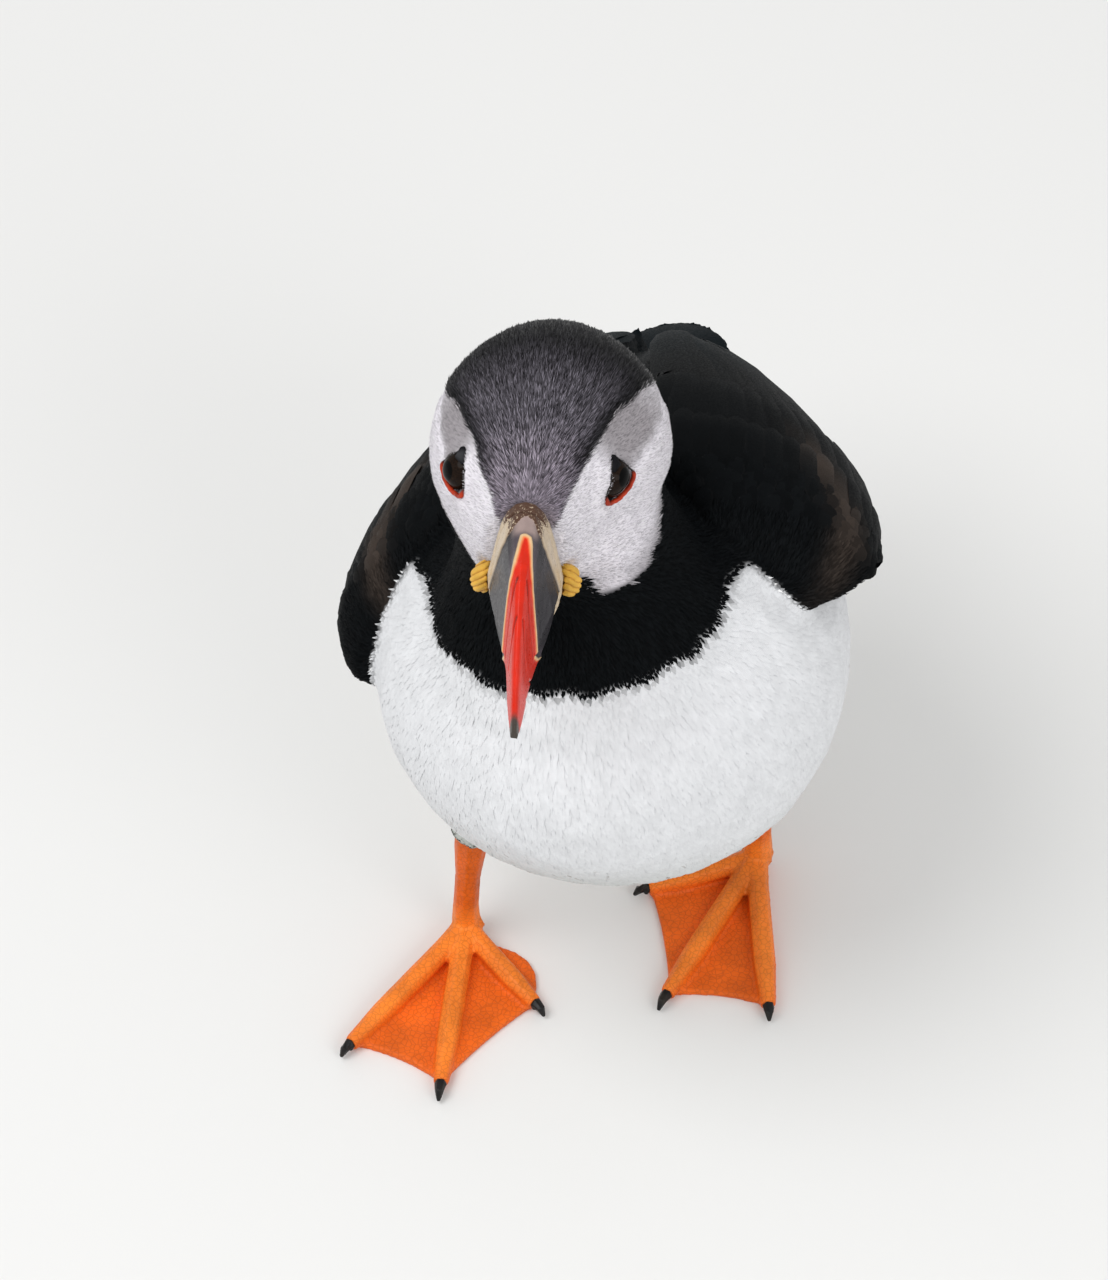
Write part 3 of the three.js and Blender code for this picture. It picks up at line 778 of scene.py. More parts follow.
def plumageMaterial(name, roughness, edge, specular, mottling=0.86):
    def varying(signal):
        tint = signal.attribute("tint")
        mottle = signal.noise(260, 3).fromTo(0.3, 0.7, mottling, 1.0)
        grain = signal.noise(2600, 2)
        vane = signal.make("ShaderNodeUVMap", {"uv_map": "vane"})
        across = signal.make("ShaderNodeSeparateXYZ", None, {0: vane})
        along = signal.make("ShaderNodeSeparateXYZ", None, {0: vane}, 1)
        fromShaft = signal.maths("ABSOLUTE", across - 0.5)
        barbs = signal.maths("SINE", along * 160 + fromShaft * 14).fromTo(-1.0, 1.0)
        colour = tint.multiplied(barbs.fromTo(0.0, 1.0, 0.9, 1.0) * mottle)
        colour = fromShaft.fromTo(0.36, 0.5, 0.0, edge).mixed(colour, (0.075, 0.066, 0.062, 1))
        rough = grain.fromTo(0.3, 0.7, roughness - 0.1, roughness + 0.1)
        normal = (barbs * 0.3 + grain).bump(0.2, 0.08)
        return {"Base Color": colour, "Roughness": rough, "Normal": normal}

    return newMaterial(name, {"Specular IOR Level": specular}, varying)


whitePlumage = plumageMaterial("whitePlumage", 0.68, 0.0, 0.25, 0.94)
blackPlumage = plumageMaterial("blackPlumage", 0.55, 0.03, 0.025)
crownPlumage = plumageMaterial("crownPlumage", 0.42, 0.0, 0.08)
wetPlumage = plumageMaterial("wetPlumage", 0.3, 0.0, 0.16)
skinPlumage = plumageMaterial("skinPlumage", 0.75, 0.0, 0.02, 0.94)
finishPiece(skin, skinPlumage, "plumage_white", fleshNodes)

# The coat. Sizes are in millimetres, and lengths, widths and rises are the shares that vary them.
# Rings are (place along the tuft, share of its width).
crown = {
    "spacing": 0.36,
    "length": 2.3,
    "lengths": (0.78, 1.15),
    "width": 0.36,
    "widths": (0.85, 1.15),
    "rise": 0.5,
    "rises": (0.6, 1.25),
    "lift": 0.7,
    "sink": 0.3,
    "thickness": 0.35,
    "leastThickness": 0.05,
    "stray": 0.12,
    "roundness": 26,
    "gap": 0.8,  # most that a step may jump
    "roll": 0,
    "rings": [(0, 1), (1, 0)],
    "section": [(-0.5, 0), (0, 1), (0.5, 0)],
    "spread": 0.9,
    "map": "head",
    "finish": (crownPlumage, "plumage_black"),
}


def onCap(points, wing):
    return (headMarks(points)[0] > -0.3) & (headShare(points) > 0.9) & (insideEye(points) < 0)


def between(covered, matrix, low, high):
    # where covered gives true, between two places ahead in a frame of the bird
    def chosen(points, wing):
        ahead = localPlaces(points, matrix)[:, 1]
        return covered(points, wing) & (ahead > low) & (ahead <= high)

    return chosen


for title, low, high in (("crownFront", 2, 99), ("crownMiddle", -14, 2), ("crownBack", -99, -14)):
    chosen = between(onCap, headMatrix, low, high)
    found = roots, _, wing = scatter(crown["spacing"], chosen)
    far = smooth(3, 16, fromBillTop(roots))
    tint = shades(roots, wing, 0.5 - 0.38 * far, 1.9 + 1.2 * far, 0.45, 1.4, 2)
    tufts(title, found, shortened(crown, far), tint)

rimTufts = dict(crown, spacing=1.25, length=2.8, width=0.8, rise=0.7, stray=0.2, spread=0.5)
rimTufts["finish"] = (wetPlumage, "plumage_black")


def onRim(points, wing):
    return onCap(points, wing) & (fromBillTop(points) > 24)


found = roots, _, wing = scatter(rimTufts["spacing"], onRim)
tufts("crownTips", found, rimTufts, shades(roots, wing, 0.5, 1.2, 0.7, 1.1))

face = dict(crown, spacing=0.44, length=1.6, width=0.44, rise=0.32, stray=0.12, roundness=24)
face["finish"] = (whitePlumage, "plumage_white")


def onFace(points, wing):
    return (headMarks(points)[1] > -0.3) & (headShare(points) > 0.9) & (insideEye(points) < 0)


found = roots, _, wing = scatter(face["spacing"], onFace)
tint = shades(roots, wing, 0.66, 1.16, 0.72, 1.08)
tufts("faceTufts", found, shortened(face, smooth(0.2, 2.5, -insideEye(roots))), tint)


def bareBody(points, wing):
    # true on the neck and trunk, away from the face, cap and wings
    cap, whiteFace = headMarks(points)
    marked = (headShare(points) > 0.5) & (np.maximum(cap, whiteFace) > 0)
    return ~marked & (wing < 0.4)


def isDark(points):
    return plumageTint(points, np.zeros(len(points))).mean(1) < 0.35


collar = dict(
    crown,
    spacing=0.72,
    length=3.0,
    width=0.55,
    rise=0.4,
    sink=0.4,
    thickness=0.25,
    stray=0.14,
    roundness=0,
    rings=[(0, 0.6), (0.5, 1), (1, 0)],
    map="trunk",
    finish=(blackPlumage, "plumage_black"),
)


def onCollar(points, wing):
    ahead = trunkPlaces(points)[1]
    return (bareBody(points, wing) & isDark(points) & (ahead > 2)) | ((wing >= 0.4) & (ahead > 8))


def aboveEdge(points, wing, reach):
    # grows to 1 at a reach over the white underparts, and is 1 on the wings
    return smooth(0, reach, np.where(wing > 0.4, reach, collarGap(points)))


found = roots, _, wing = scatter(collar["spacing"], onCollar, exposed)
tint = shades(roots, ((wing >= 0.4) | isDark(roots)).astype(float), 0.7, 1.5)
tufts("collarTufts", found, shortened(collar, aboveEdge(roots, wing, 6)), tint)

breast = dict(
    collar,
    spacing=1.1,
    length=6.0,
    width=1.15,
    rise=0.16,
    sink=0.25,
    thickness=0.08,
    leastThickness=0.04,
    stray=0.1,
    spread=0.25,
    rings=[(0, 0.7), (0.55, 1), (1, 0)],
    speck=(0.20, 0.15, 0.11),
    finish=(whitePlumage, "plumage_white"),
)


def onWhite(points, wing):
    return bareBody(points, wing) & ~isDark(points)


for title, low, high in (("breastTufts", 12, 99), ("bellyTufts", -88, 12)):
    chosen = between(onWhite, trunkMatrix, low, high)
    found = roots, _, wing = scatter(breast["spacing"], chosen, exposed)
    tint, root, tip = shades(roots, wing, 0.96, 1.04, 0.98, 1.02)
    speck = (random.random(len(roots)) < 0.02) * smooth(0.098, 0.080, roots[:, 2])
    speck = speck * (trunkPlaces(roots)[1] > 20)
    tint = (blend(tint, breast["speck"], 0.6 * speck), root, tip)
    look = shortened(breast, besideWing(roots, 0.16, 10), 0)
    tufts(title, found, shortened(look, smooth(0, 10, -collarGap(roots))), tint)

fringe = dict(breast, spacing=0.8, length=2.2, width=0.7, rise=0.12)


def onThigh(points, wing):
    return (points[:, 2] < 0.052) & (np.abs(trunkPlaces(points)[0]) > 12)


def facesOut(points, normals):
    return normals[:, 2] > -0.4


found = roots, _, wing = scatter(fringe["spacing"], onThigh, facesOut)
tufts("thighTufts", found, fringe, shades(roots, wing, 0.96, 1.06, 0.97, 1.04))

# Small rounded feathers of the back, the rump and the front of the wings
coverts = dict(
    collar,
    spacing=2.0,
    length=7.5,
    width=4.4,
    rise=0.62,
    lift=1.0,
    sink=0.25,
    thickness=0.07,
    leastThickness=0.12,
    stray=0.07,
    roll=0.05,
    rings=[(0, 0.5), (0.35, 0.95), (0.65, 1), (0.88, 0.72), (1, 0)],
    section=[(-0.5, -0.4), (0, 1), (0.5, -0.4), (0, 0)],
    spread=0.7,
)


def onBack(points, wing):
    ahead = trunkPlaces(points)[1]
    bare = bareBody(points, wing) & isDark(points) & (ahead <= 4) & (ahead > -88)
    return bare | ((wing >= 0.4) & (ahead > -70) & (ahead <= 11))


def onUpperSide(points, normals):
    side, _, up = trunkPlaces(points)
    outwards = unit(worldWays(np.stack([side, 0 * up, up], 1), trunkMatrix))
    return exposed(points, normals) & ((normals * outwards).sum(1) > 0.35)


found = scatter(coverts["spacing"], onBack, onUpperSide)
ahead = trunkPlaces(found[0])[1]
size = 0.62 + 0.38 * smooth(20, -12, ahead) + 0.25 * smooth(-10, -60, ahead)
size = size - 0.55 * smooth(-62, -78, ahead)
keep = random.random(len(size)) < 1 / size**2  # larger feathers stand farther apart
*found, size = only(keep, *found, size)
roots, _, wing = found
share = 0.4 + 0.6 * aboveEdge(roots, wing, 9)
look = dict(coverts, length=coverts["length"] * size * share, width=coverts["width"] * share)
tufts("backFeathers", found, look, shades(roots, np.ones(len(roots)), 0.8, 1.25, 0.85, 1.1))

# Flight feathers. Stations are (place along the trunk, lower and upper edge of the wing in
# degrees round it). Rows are (count, root and tip place of the first feather, of the last
# one, root and tip share of the wing's span for the first, for the last, width, lift).
wings = {
    "stations": [
        (-91, 64, 76), (-74, 38, 76), (-50, 12, 74), (-22, -1, 72), (0, 0, 66), (10, 2, 48),
        (20, 8, 22),
    ],
    "raise": {"left": 20, "right": -4},
    "rows": [
        (10, (-30, -95), (-30, -66), (0.10, 0.30), (0.32, 0.34), 6.5, (0.5, 1.3)),
        (9, (-18, -62), (-26, -72), (0.14, 0.22), (0.62, 0.72), 8.0, (0.9, 1.6)),
        (4, (-24, -76), (-28, -80), (0.72, 0.80), (0.92, 0.95), 10.0, (1.4, 1.9)),
        (13, (-4, -31), (-10, -36), (0.03, 0.10), (0.93, 0.92), 6.6, (1.3, 1.7)),
        (14, (5, -15), (3, -17), (0.02, 0.05), (0.93, 0.92), 5.6, (0.9, 1.2)),
    ],
    "shape": [
        (0, 0.45), (0.12, 0.75), (0.3, 0.95), (0.5, 1), (0.7, 1), (0.83, 0.9), (0.92, 0.7),
        (0.975, 0.4), (1, 0),
    ],
    "section": [(-0.5, -0.5), (-0.28, 0.55), (0, 1), (0.28, 0.55), (0.5, -0.5), (0, 0.1)],
    "thickness": 0.07,
    "leastThickness": 0.2,
    "sink": 0.3,
    "roll": 0.06,
    "unevenness": 0.8,
    "tones": (0.85, 1.2),
    "mostStretch": 1.5,  # a feather's length for its span
    "leastAgreement": 0.85,  # between its ways out from ring to ring
    "rayLength": 90,
    "spread": 0.6,
    "map": "trunk",
    "finish": (blackPlumage, "plumage_black"),
}
shape = np.array(wings["shape"])
flight = dict(wings, along=shape[:, 0])
stations, lowEdge, highEdge = np.array(wings["stations"], float).T


def wingRay(name, along, share):
    # a ray on to the wing, and the place on the skin that it meets
    forward = smooth(-91, 0, along)
    lift = wings["raise"][name] * forward
    low = np.interp(along, stations, lowEdge) + lift
    high = np.interp(along, stations, highEdge) + lift * (0.4 + 0.6 * smooth(0, 20, along))
    turn = math.radians(low + (high - low) * share)
    way = worldWays([hands[name] * math.cos(turn), 0, math.sin(turn)], trunkMatrix)
    length = wings["rayLength"] * mm
    start = worldPlaces([0, along, 0], trunkMatrix) + way * length
    spot, normal, *_ = skinTree.ray_cast(Vector(start), Vector(-way), length)
    return (np.array(spot), np.array(normal)) if spot else (None, None)


def toward(first, last, share):
    return np.array(first) * (1 - share) + np.array(last) * share


def liesFlat(spine, ways, ends):
    # false for a feather that would fold over the wing's edge or jump across a gap
    steps = np.linalg.norm(np.diff(spine, axis=0), axis=1) / np.diff(shape[:, 0])
    agreement = (ways[1:] * ways[:-1]).sum(1)
    most = wings["mostStretch"] * mm * abs(ends[1] - ends[0])
    return steps.max() < most and agreement.min() > wings["leastAgreement"]


def sheetOf(spines, normals, roll=0):
    # ways across and out of flat feathers, from their places and rough ways out
    ways = np.gradient(spines, axis=1)
    sides = unit(np.cross(normals, ways))
    normals = unit(np.cross(ways, sides))
    return rolled(sides, normals, roll) if roll else (sides, normals)


for name, hand in hands.items():
    spines, normals, widths, lengths = [], [], [], []
    for count, first, last, firstShare, lastShare, width, lifts in wings["rows"]:
        for k in range(count):
            part = k / (count - 1)
            ends = toward(first, last, part) + random.normal(0, wings["unevenness"], 2)
            spans = toward(firstShare, lastShare, part)
            spine, ways = [], []
            for t in shape[:, 0]:
                along = ends[0] + (ends[1] - ends[0]) * t
                spot, normal = wingRay(name, max(along, -97), spans[0] + (spans[1] - spans[0]) * t)
                if spot is None:
                    break
                lift = lifts[0] + (lifts[1] - lifts[0]) * part
                lift = lift * smooth(0, 0.85, t) - wings["sink"] * (t == 0)
                spine.append(spot + normal * lift * mm)
                ways.append(normal)
            if len(spine) == len(shape) and liesFlat(np.array(spine), np.array(ways), ends):
                spines.append(spine)
                normals.append(ways)
                widths.append(width * shape[:, 1])
                lengths.append(abs(ends[1] - ends[0]))
    spines, normals, widths = np.array(spines), np.array(normals), np.array(widths)
    normals = unit(normals + normals.mean(1, keepdims=True))
    sides, normals = sheetOf(spines, normals, wings["roll"] * hand)
    heights = np.maximum(widths * wings["thickness"], wings["leastThickness"])
    tint, root, tip = shades(spines.reshape(-1, 3), np.ones(spines.size // 3), 1, 1, 0.85, 1.15)
    tone = random.uniform(*wings["tones"], len(spines))
    tint = tint.reshape(spines.shape) * tone[:, None, None]
    tint = (tint, root[: len(spines)], tip[: len(spines)])
    roots, lengths = spines[:, 0], np.array(lengths)
    title = f"{name}Flight"
    plumes(title, roots, spines, sides, normals, widths, heights, lengths, flight, tint)

# Tail feathers lie above and below the thin end of the skin, fanned from the middle pair.
tail = {
    "count": 15,
    "root": -84,
    "tip": -120.5,
    "outerTip": -104,
    "halfWidth": [(-119, 14), (-108, 15.5), (-98, 14.5), (-88, 12)],
    "halfDepth": [(-120, 0.3), (-116, 0.8), (-108, 1.9), (-98, 3.2), (-88, 4.2)],
    "lowerShorter": 2.5,
    "fan": (0.62, 0.2),  # share of the half width at the root, and its growth to the tip
    "bow": 0.82,
    "ridge": 0.45,
    "droop": 0.006,
    "droopStart": -88,
    "sink": 0.6,
    "slant": 0.35,
    "width": 7.0,
    "thickness": 0.05,
    "length": 36.0,
}
spines, normals = [], []
for over in (1, -1):
    for k in range(tail["count"]):
        fan = 2 * k / (tail["count"] - 1) - 1
        tip = tail["tip"] + (tail["outerTip"] - tail["tip"]) * fan**2
        tip = tip + tail["lowerShorter"] * (over < 0)
        spine, ways = [], []
        for t in shape[:, 0]:
            along = tail["root"] + (tip - tail["root"]) * t
            side = fan * table(along, tail["halfWidth"]) * (tail["fan"][0] + tail["fan"][1] * t)
            bow = math.sqrt(1 - (tail["bow"] * fan) ** 2)
            depth = table(along, tail["halfDepth"]) * bow * 0.9 - 0.2
            depth += tail["ridge"] * (1 - abs(fan)) * (1 - 0.6 * t) - tail["sink"] * (t == 0)
            droop = tail["droop"] * min(along - tail["droopStart"], 0) ** 2
            spine.append(worldPlaces([side, along, 1 - droop + over * depth], trunkMatrix))
            ways.append(worldWays([tail["slant"] * fan, 0, over], trunkMatrix))
        spines.append(spine)
        normals.append(ways)
spines = np.array(spines)
sides, normals = sheetOf(spines, unit(np.array(normals)))
widths = np.tile(tail["width"] * shape[:, 1], (len(spines), 1))
heights = np.maximum(widths * tail["thickness"], wings["leastThickness"])
roots, lengths = spines[:, 0], np.full(len(spines), tail["length"])
tint = shades(roots, np.ones(len(roots)), 0.9, 1.2, 0.9, 1.1)
plumes("tailFeathers", roots, spines, sides, normals, widths, heights, lengths, flight, tint)
print("plumage: ready")

# The bill. Lines on the horn are (along the bill, girth from its ridge) in millimetres.
bill = {
    "cell": 0.22,
    "base": 27.6,
    "upper": {
        "edge": [
            (9.0, 0), (9.4, 0.95), (11, 1.3), (13, 1.65), (15, 2.1),
            (17, 3), (18.4, 4.4), (19.4, 6.5), (20, 9), (20.6, 13), (21.6, 18),
        ],
        "grooves": [
            [(18.5, 1.4), (19.5, 1.9), (21.5, 3), (22.8, 5), (23.2, 8), (23.5, 12), (24, 16)],
            [(26, 1.2), (28, 2.2), (29.6, 4), (30.4, 8)],
        ],
        "base": [
            (3.8, 0), (4.8, 1.4), (7.0, 3.0), (8.0, 5.5), (7.8, 9), (7.2, 13), (5.8, 18), (5, 24),
        ],
    },
    "lower": {
        "edge": [(9, 0), (11, 3), (15, 6), (19.5, 9), (23.5, 13)],
        "grooves": [[(17, 1), (20, 3), (24.5, 6), (28.5, 10)], [(24, 0.8), (27.5, 3), (32, 7)]],
        "base": [(2.5, 0), (3, 10), (3.5, 20)],
    },
    "edgeHeight": 0.32,
    "edgeWidth": 0.6,
    "baseHeight": 0.35,
    "grooveDepth": 0.4,
    "grooveWidth": 0.3,
    "slate": (0.034, 0.031, 0.036),
    "slateSheen": (0.085, 0.068, 0.082),
    "slateApex": (0.36, 0.27, 0.25),
    "baseCream": (0.60, 0.48, 0.34),
    "baseBrown": (0.10, 0.050, 0.032),
    "cream": (0.72, 0.50, 0.27),
    "orange": (0.85, 0.28, 0.10),
    "red": (0.68, 0.020, 0.004),
    # painted shade laid in the grooves
    "groove": (0.12, 0.008, 0.005),
    "tip": (0.060, 0.048, 0.040),
    "tipEdge": (39.4, 40.8),
}


def lineDistance(along, girth, line):
    # millimetres from a line, over nought on the tip's side of it
    line = np.array(line, float)
    places = np.stack([along, girth], 1)[:, None]
    steps = np.diff(line, axis=0)
    shares = ((places - line[:-1]) * steps).sum(2) / (steps**2).sum(1)
    nearest = line[:-1] + steps * np.clip(shares, 0, 1)[:, :, None]
    gap = np.linalg.norm(places - nearest, axis=2).min(1)
    return gap * np.sign(along - np.interp(girth, line[:, 1], line[:, 0]) + 1e-6)


def shapeHorn(piece, lines, direction):
    # raised edges, grooves and colours of one half, whose crest is up or down
    points, normals = placesOf(piece), normalsOf(piece)
    side, ahead, up = headPlaces(points)
    along = ahead - bill["base"]
    # the crest's height in slices of half a millimetre, and a smooth curve through it
    slices = np.round(along * 2)
    order = np.lexsort((up * direction, slices))
    crest = order[np.append(np.diff(slices[order]) > 0, True)]
    curve = np.polyfit(along[crest] / 20, up[crest] * direction, 7)
    girth = np.hypot(side, np.polyval(curve, along / 20) - up * direction)
    fromEdge = lineDistance(along, girth, lines["edge"])
    fromBase = lineDistance(along, girth, lines["base"])
    fromGrooves = np.stack([lineDistance(along, girth, line) for line in lines["grooves"]])
    groove = bell(fromGrooves, bill["grooveWidth"]).max(0)
    height = bill["edgeHeight"] * bell(fromEdge, bill["edgeWidth"])
    height += bill["baseHeight"] * smooth(0.15, -0.35, fromBase)
    height -= bill["grooveDepth"] * groove
    setPlaces(piece, points + normals * (height * mm)[:, None])
    horny = np.tile(bill["baseCream"], (len(points), 1))
    horny = blend(horny, bill["baseBrown"], 0.5 * bell(fromBase + 0.05, 0.16))
    tint = layered(
        bill["slate"],
        (bill["slateSheen"], smooth(-3.2, -0.8, fromEdge)),
        (bill["slateApex"], smooth(9.8, 7.5, along) * smooth(4.2, 1.5, girth)),
        (bill["cream"], smooth(-0.3, -0.05, fromEdge)),
        (bill["orange"], smooth(0.2, 0.5, fromEdge)),
        (bill["red"], smooth(0.4, 0.85, fromEdge)),
        # the grooves are darkened with painted shade
        (bill["groove"], 0.85 * groove),
        (bill["tip"], smooth(*bill["tipEdge"], along + 0.4 * ripple(points, 3))),
        (horny, smooth(0.1, -0.1, fromBase)),
    )
    paint(piece, "tint", tint)
    paint(piece, "speckle", smooth(0.1, -0.1, fromBase) * smooth(5.5, 1.5, girth))


def hornMaterial(name, roughness, mottle, specular=0.22):
    def varying(signal):
        tint = signal.attribute("tint")
        cloud = signal.noise(420, 4).fromTo(0.3, 0.72, mottle, 1.0)
        scratch = signal.noise(1500, 3)
        amount = signal.attribute("speckle", 2)
        speckle = (signal.noise(1900, 4, 0.65) + amount * 0.2).fromTo(0.53, 0.63)
        speckle = speckle * amount.fromTo(0.0, 0.3)
        colour = speckle.mixed(tint.multiplied(cloud), (0.085, 0.042, 0.026, 1))
        rough = scratch.fromTo(0.3, 0.7, roughness, roughness + 0.14)
        return {"Base Color": colour, "Roughness": rough, "Normal": scratch.bump(0.12, 0.08)}

    return newMaterial(name, {"Specular IOR Level": specular}, varying)


horn = hornMaterial("billHorn", 0.26, 0.86)
for half, direction, slot in (("upper", 1, "bill_horn_red"), ("lower", -1, "bill_horn_slate")):
    piece = remade([f"bill_{half}"], f"{half}Bill", bill["cell"], 3)
    shapeHorn(piece, bill[half], direction)
    finishPiece(piece, horn, slot, [f"bill_{half}"])

softSkin = {
    "rimCell": 0.3,
    "rimCream": (0.62, 0.50, 0.36),
    "rimEdge": (0.40, 0.31, 0.20),
    "pit": 0.16,
    "rosetteCell": 0.24,
    "rosette": (0.80, 0.46, 0.07),
    # painted shade in the troughs of the folds
    "rosetteFoldShade": (0.46, 0.17, 0.02),
    "wrinkle": 0.5,
}
rim = remade(["bill_rim"], "billRim", softSkin["rimCell"], 3)
points, normals = placesOf(rim), normalsOf(rim)
side, ahead, up = headPlaces(points)
pits = smooth(0.35, 0.8, ripple(points, 0.55, 2))
setPlaces(rim, points - normals * (softSkin["pit"] * pits * mm)[:, None])
paint(rim, "speckle", smooth(9.5, 14, up))
inner = 0.7 * smooth(28.6, 27.6, ahead)
paint(rim, "tint", blend(softSkin["rimCream"], softSkin["rimEdge"], inner))
rimSkin = hornMaterial("rimSkin", 0.42, 0.8)
finishPiece(rim, rimSkin, "bill_rim", ["bill_rim"])

for name in hands:
    rosette = remade([f"rosette_{name}"], f"{name}Rosette", softSkin["rosetteCell"], 2)
    points, normals = placesOf(rosette), normalsOf(rosette)
    side, ahead, up = headPlaces(points)
    fold = 1.5 * (up - ahead) + 0.8 * np.abs(side)
    fold = fold + 0.8 * ripple(points, 2.6) + 0.4 * ripple(points, 1.2, 3)
    fold = np.abs(np.sin(fold)) ** 0.6
    setPlaces(rosette, points + normals * (softSkin["wrinkle"] * (fold - 0.5) * mm)[:, None])
    # the troughs of the folds are darker, as painted shade
    tint = blend(softSkin["rosetteFoldShade"], softSkin["rosette"], smooth(0.1, 0.6, fold))
    paint(rosette, "tint", tint)
    finishPiece(rosette, rimSkin, "rosette", [f"rosette_{name}"])
print("bill: ready")

# Eyes
lidSkin = hornMaterial("lidSkin", 0.5, 0.7, 0.03)


def eyeball(name, matrix, centre, axis):
    # flattened along its axis, with a clear dome bulging over the iris
    bpy.ops.mesh.primitive_uv_sphere_add(segments=48, ring_count=32, radius=1)
    ball = bpy.context.object
    ball.name = f"{name}Eye"
    low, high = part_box(f"eye_{name}")
    size = (high - low).z / 2
    places = placesOf(ball)
    dome = eyes["cornea"] * mm * smooth(0.80, 0.97, places[:, 2])
    places = places * [size, size, eyes["flatness"] * size]
    places[:, 2] += dome
    settleAt(ball, places, matrix)

    def varying(signal):
        way = signal.objectPlace().vectorMaths("SUBTRACT", centre).vectorMaths("NORMALIZE")
        facing = way.vectorMaths("DOT_PRODUCT", axis, 1)
        rays = signal.noise(3000, 3).fromTo(0.3, 0.7)
        iris = rays.mixed(eyes["iris"], eyes["irisRays"])
        colour = facing.fromTo(0.86, 0.89).mixed(iris, eyes["pupil"])
        return {"Base Color": colour, "Roughness": rays * 0.03 + 0.08}

    wet = {"Specular IOR Level": 0.06}
    finishPiece(ball, newMaterial(f"{name}EyeWet", wet, varying), "eye", [f"eye_{name}"])
    return treeOf(ball)


def eyeRing(name, matrix, ballTree):
    # the swollen lid round the opening: red below and behind, elsewhere thin and dark with painted
    # shade
    bpy.ops.mesh.primitive_torus_add(
        major_segments=96, minor_segments=12, major_radius=1, minor_radius=0.2
    )
    ring = bpy.context.object
    ring.name = f"{name}EyeRing"
    places = placesOf(ring)
    hand = hands[name]
    turn = np.arctan2(places[:, 1], -hand * places[:, 0])
    tubeOut, tubeUp = (np.hypot(places[:, 0], places[:, 1]) - 1) * 5, places[:, 2] * 5
    reach = (outlineReach(turn) + outlineReach(turn + 0.12) + outlineReach(turn - 0.12)) / 3
    fromBrow = np.mod(turn + 3.4, 2 * math.pi)
    red = smooth(0.1, 0.35, fromBrow) * smooth(3.15, 2.85, fromBrow)
    tube = eyes["ringTube"] * (0.4 + 0.6 * red) * (1 + 0.08 * np.sin(17 * turn))
    middle = np.add(eyes["middle"], eyes["shift"][name])
    rimAhead, rimUp = middle[0] + reach * np.cos(turn), middle[1] + reach * np.sin(turn)
    ahead, up = rimAhead + tube * tubeOut * np.cos(turn), rimUp + tube * tubeOut * np.sin(turn)
    inverse = matrix.inverted()
    inwards = (matrix.to_3x3() @ Vector((0, 0, -1))).normalized()
    level = np.zeros(len(places))
    for i, (x, y) in enumerate(zip((-hand * rimAhead).tolist(), rimUp.tolist())):
        start = matrix @ Vector((x * mm, y * mm, 12 * mm))
        hits = [tree.ray_cast(start, inwards)[0] for tree in (skinTree, ballTree)]
        level[i] = max((inverse @ hit).z * 1000 for hit in hits if hit)
    # the height is evened out along the ring
    order = np.argsort(turn, kind="stable")
    soft = level[order]
    pad = len(soft) // 12
    soft = np.concatenate([soft[-pad:], soft, soft[:pad]])
    level[order] = np.convolve(soft, np.ones(2 * pad + 1) / (2 * pad + 1), "valid")
    places = np.stack([-hand * ahead, up, level + 0.1 + 0.25 * red + tube * tubeUp], 1) * mm
    settleAt(ring, places, matrix)
    dark = 0.5 * smooth(0.35, 0.9, np.abs(ripple(placesOf(ring), 1.1)))
    # where the ring is not red it takes the lid's colour as painted shade along the lid's edge
    tint = layered(eyes["lid"], (eyes["ring"], red), (eyes["ringShade"], dark * red))
    paint(ring, "tint", tint)
    finishPiece(ring, rimSkin, "rosette")


def upperPlate(name, matrix):
    # a small horny plate laid on the skin above the eye
    reach, depth = eyes["plateReach"] * mm, eyes["plateDepth"] * mm
    bpy.ops.mesh.primitive_cylinder_add(vertices=3, radius=reach, depth=depth)
    plate = bpy.context.object
    plate.name = f"{name}UpperPlate"
    bpy.ops.object.mode_set(mode="EDIT")
    bpy.ops.mesh.select_all(action="SELECT")
    bpy.ops.mesh.bevel(offset=0.45 * mm, segments=3, affect="EDGES")
    bpy.ops.mesh.subdivide(number_cuts=2)
    bpy.ops.object.mode_set(mode="OBJECT")
    middle = np.add(eyes["upperPlate"], eyes["shift"][name])
    place = (-hands[name] * middle[0] * mm, middle[1] * mm)
    places = placesOf(plate) * [1, eyes["plateStretch"], 1]
    inverse = matrix.inverted()
    inwards = (matrix.to_3x3() @ Vector((0, 0, -1))).normalized()
    for i, (x, y, z) in enumerate(places.tolist()):
        x, y = x + place[0], y + place[1]
        hit = skinTree.ray_cast(matrix @ Vector((x, y, 15 * mm)), inwards)[0]
        level = (inverse @ hit).z if hit else 0
        places[i] = [x, y, max(level, eyes["plateLevel"] * mm) + z]
    settleAt(plate, places, matrix)
    patches = smooth(0, 1, ripple(placesOf(plate), 1.3))
    paint(plate, "tint", blend(eyes["plate"], eyes["platePatch"], patches))
    finishPiece(plate, lidSkin, "bill_horn_slate")


for name in hands:
    matrix = eyeFrames[name]
    ballTree = eyeball(name, matrix, matrix.translation, matrix.to_3x3() @ Vector((0, 0, 1)))
    eyeRing(name, matrix, ballTree)
    upperPlate(name, matrix)
print("eyes: ready")

# Legs and feet
feet = {
    "cell": 0.45,
    "grow": 0.2,
    "web": (0.90, 0.150, 0.010),
    "toe": (0.98, 0.240, 0.026),
    "shank": (0.78, 0.135, 0.008),
    "back": (0.62, 0.08, 0.006),
    "clawCell": 0.2,
    "claw": (0.012, 0.011, 0.011),
    "clawPatch": (0.03, 0.025, 0.02),
}


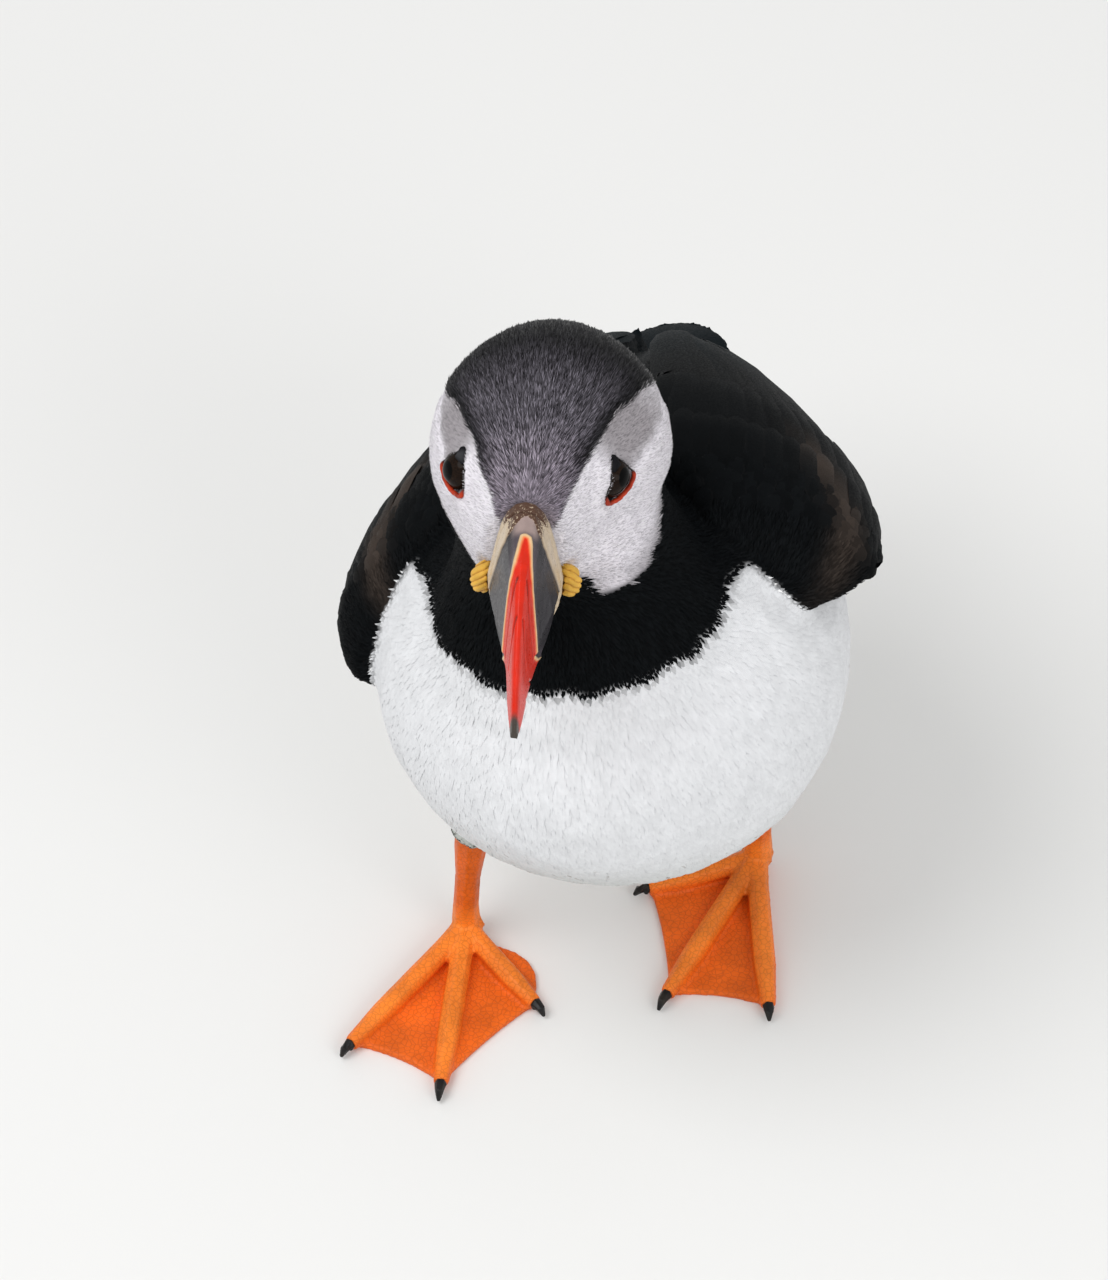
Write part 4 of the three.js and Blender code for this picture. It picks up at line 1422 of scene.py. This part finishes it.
def scalyMaterial(signal):
    tint = signal.attribute("tint")
    seam = signal.cellEdges(820).fromTo(0.0, 0.12)
    cloud = signal.noise(130, 3).fromTo(0.3, 0.7, 0.80, 1.0)
    colour = tint.multiplied(cloud * seam.fromTo(0.0, 1.0, 0.80, 1.0))
    rough = signal.noise(900, 2).fromTo(0.3, 0.7, 0.38, 0.52)
    return {"Base Color": colour, "Roughness": rough, "Normal": seam.bump(0.5, 0.12)}


legSkin = newMaterial("legSkin", {"Specular IOR Level": 0.22}, scalyMaterial)
clawHorn = hornMaterial("clawHorn", 0.3, 0.6)
for name in hands:
    legNodes = [f"leg_{name}", f"foot_{name}"]
    leg = remade(legNodes, f"{name}Leg", feet["cell"], 4, feet["grow"])
    points, normals = placesOf(leg), normalsOf(leg)
    height = points[:, 2] * 1000
    tint = layered(
        feet["web"],
        (feet["toe"], smooth(2.4, 4.6, height)),
        (feet["shank"], smooth(9, 16, height)),
        (feet["back"], 0.7 * smooth(0.2, 0.9, normals[:, 1]) * smooth(6, 14, height)),
    )
    paint(leg, "tint", tint * (1 + 0.08 * ripple(points, 7))[:, None])
    points[:, 2] = np.maximum(points[:, 2], 0)
    setPlaces(leg, points)
    finishPiece(leg, legSkin, "leg_skin", legNodes)
    clawNodes = [f"claw_{name}_{toe}" for toe in ("outer", "middle", "inner")]
    claws = remade(clawNodes, f"{name}Claws", feet["clawCell"], 2)
    patches = smooth(0, 1, ripple(placesOf(claws), 2))
    paint(claws, "tint", blend(feet["claw"], feet["clawPatch"], patches))
    finishPiece(claws, clawHorn, "claw", clawNodes)
print("legs: ready")

# Stage, light and camera
view = {
    "target": (0.00191, -0.01418, 0.098),
    "azimuth": 10,
    "elevation": 50,
    "distance": 1.4,
    "aside": -0.0137,
    "lens": 181.1,
    "floor": (0.80, 0.80, 0.79),
    "sky": 0.72,
    "lamps": [("keyLamp", (-0.7, -0.5, 1.5), 1.1, 12), ("fillLamp", (0.9, -0.9, 0.9), 0.9, 5)],
}
bpy.ops.mesh.primitive_plane_add(size=8, location=(0, 0, 0))
floor = bpy.context.object
floor.name = "floor"
floorMaterial = newMaterial(
    "paleFloor",
    {"Base Color": (*view["floor"], 1)},
    lambda signal: {"Roughness": signal.noise(3).fromTo(0.3, 0.7, 0.7, 0.8)},
)
floor.data.materials.append(floorMaterial)

azimuth, elevation = math.radians(view["azimuth"]), math.radians(view["elevation"])
level = Vector((math.sin(azimuth), -math.cos(azimuth), 0))
back = level * math.cos(elevation) + Vector((0, 0, math.sin(elevation)))
right = Vector((math.cos(azimuth), math.sin(azimuth), 0))
bpy.ops.object.camera_add()
camera = bpy.context.object
camera.location = Vector(view["target"]) + back * view["distance"] + right * view["aside"]
camera.rotation_euler = back.to_track_quat("Z", "Y").to_euler()
camera.data.lens = view["lens"]
camera.data.sensor_width = 36
bpy.context.scene.camera = camera


for name, place, size, power in view["lamps"]:
    bpy.ops.object.light_add(type="AREA", location=place)
    lamp = bpy.context.object
    lamp.name = name
    lamp.data.shape = "DISK"
    lamp.data.size = size
    lamp.data.energy = power
    lamp.rotation_euler = (Vector(place) - Vector((0, 0, 0.1))).to_track_quat("Z", "Y").to_euler()

world = bpy.context.scene.world or bpy.data.worlds.new("World")
bpy.context.scene.world = world
world.use_nodes = True
worldShader = world.node_tree.nodes["Background"]
worldShader.inputs["Color"].default_value = (1, 1, 1, 1)
worldShader.inputs["Strength"].default_value = view["sky"]
bpy.context.scene.view_settings.view_transform = "Standard"

print("stage: ready")
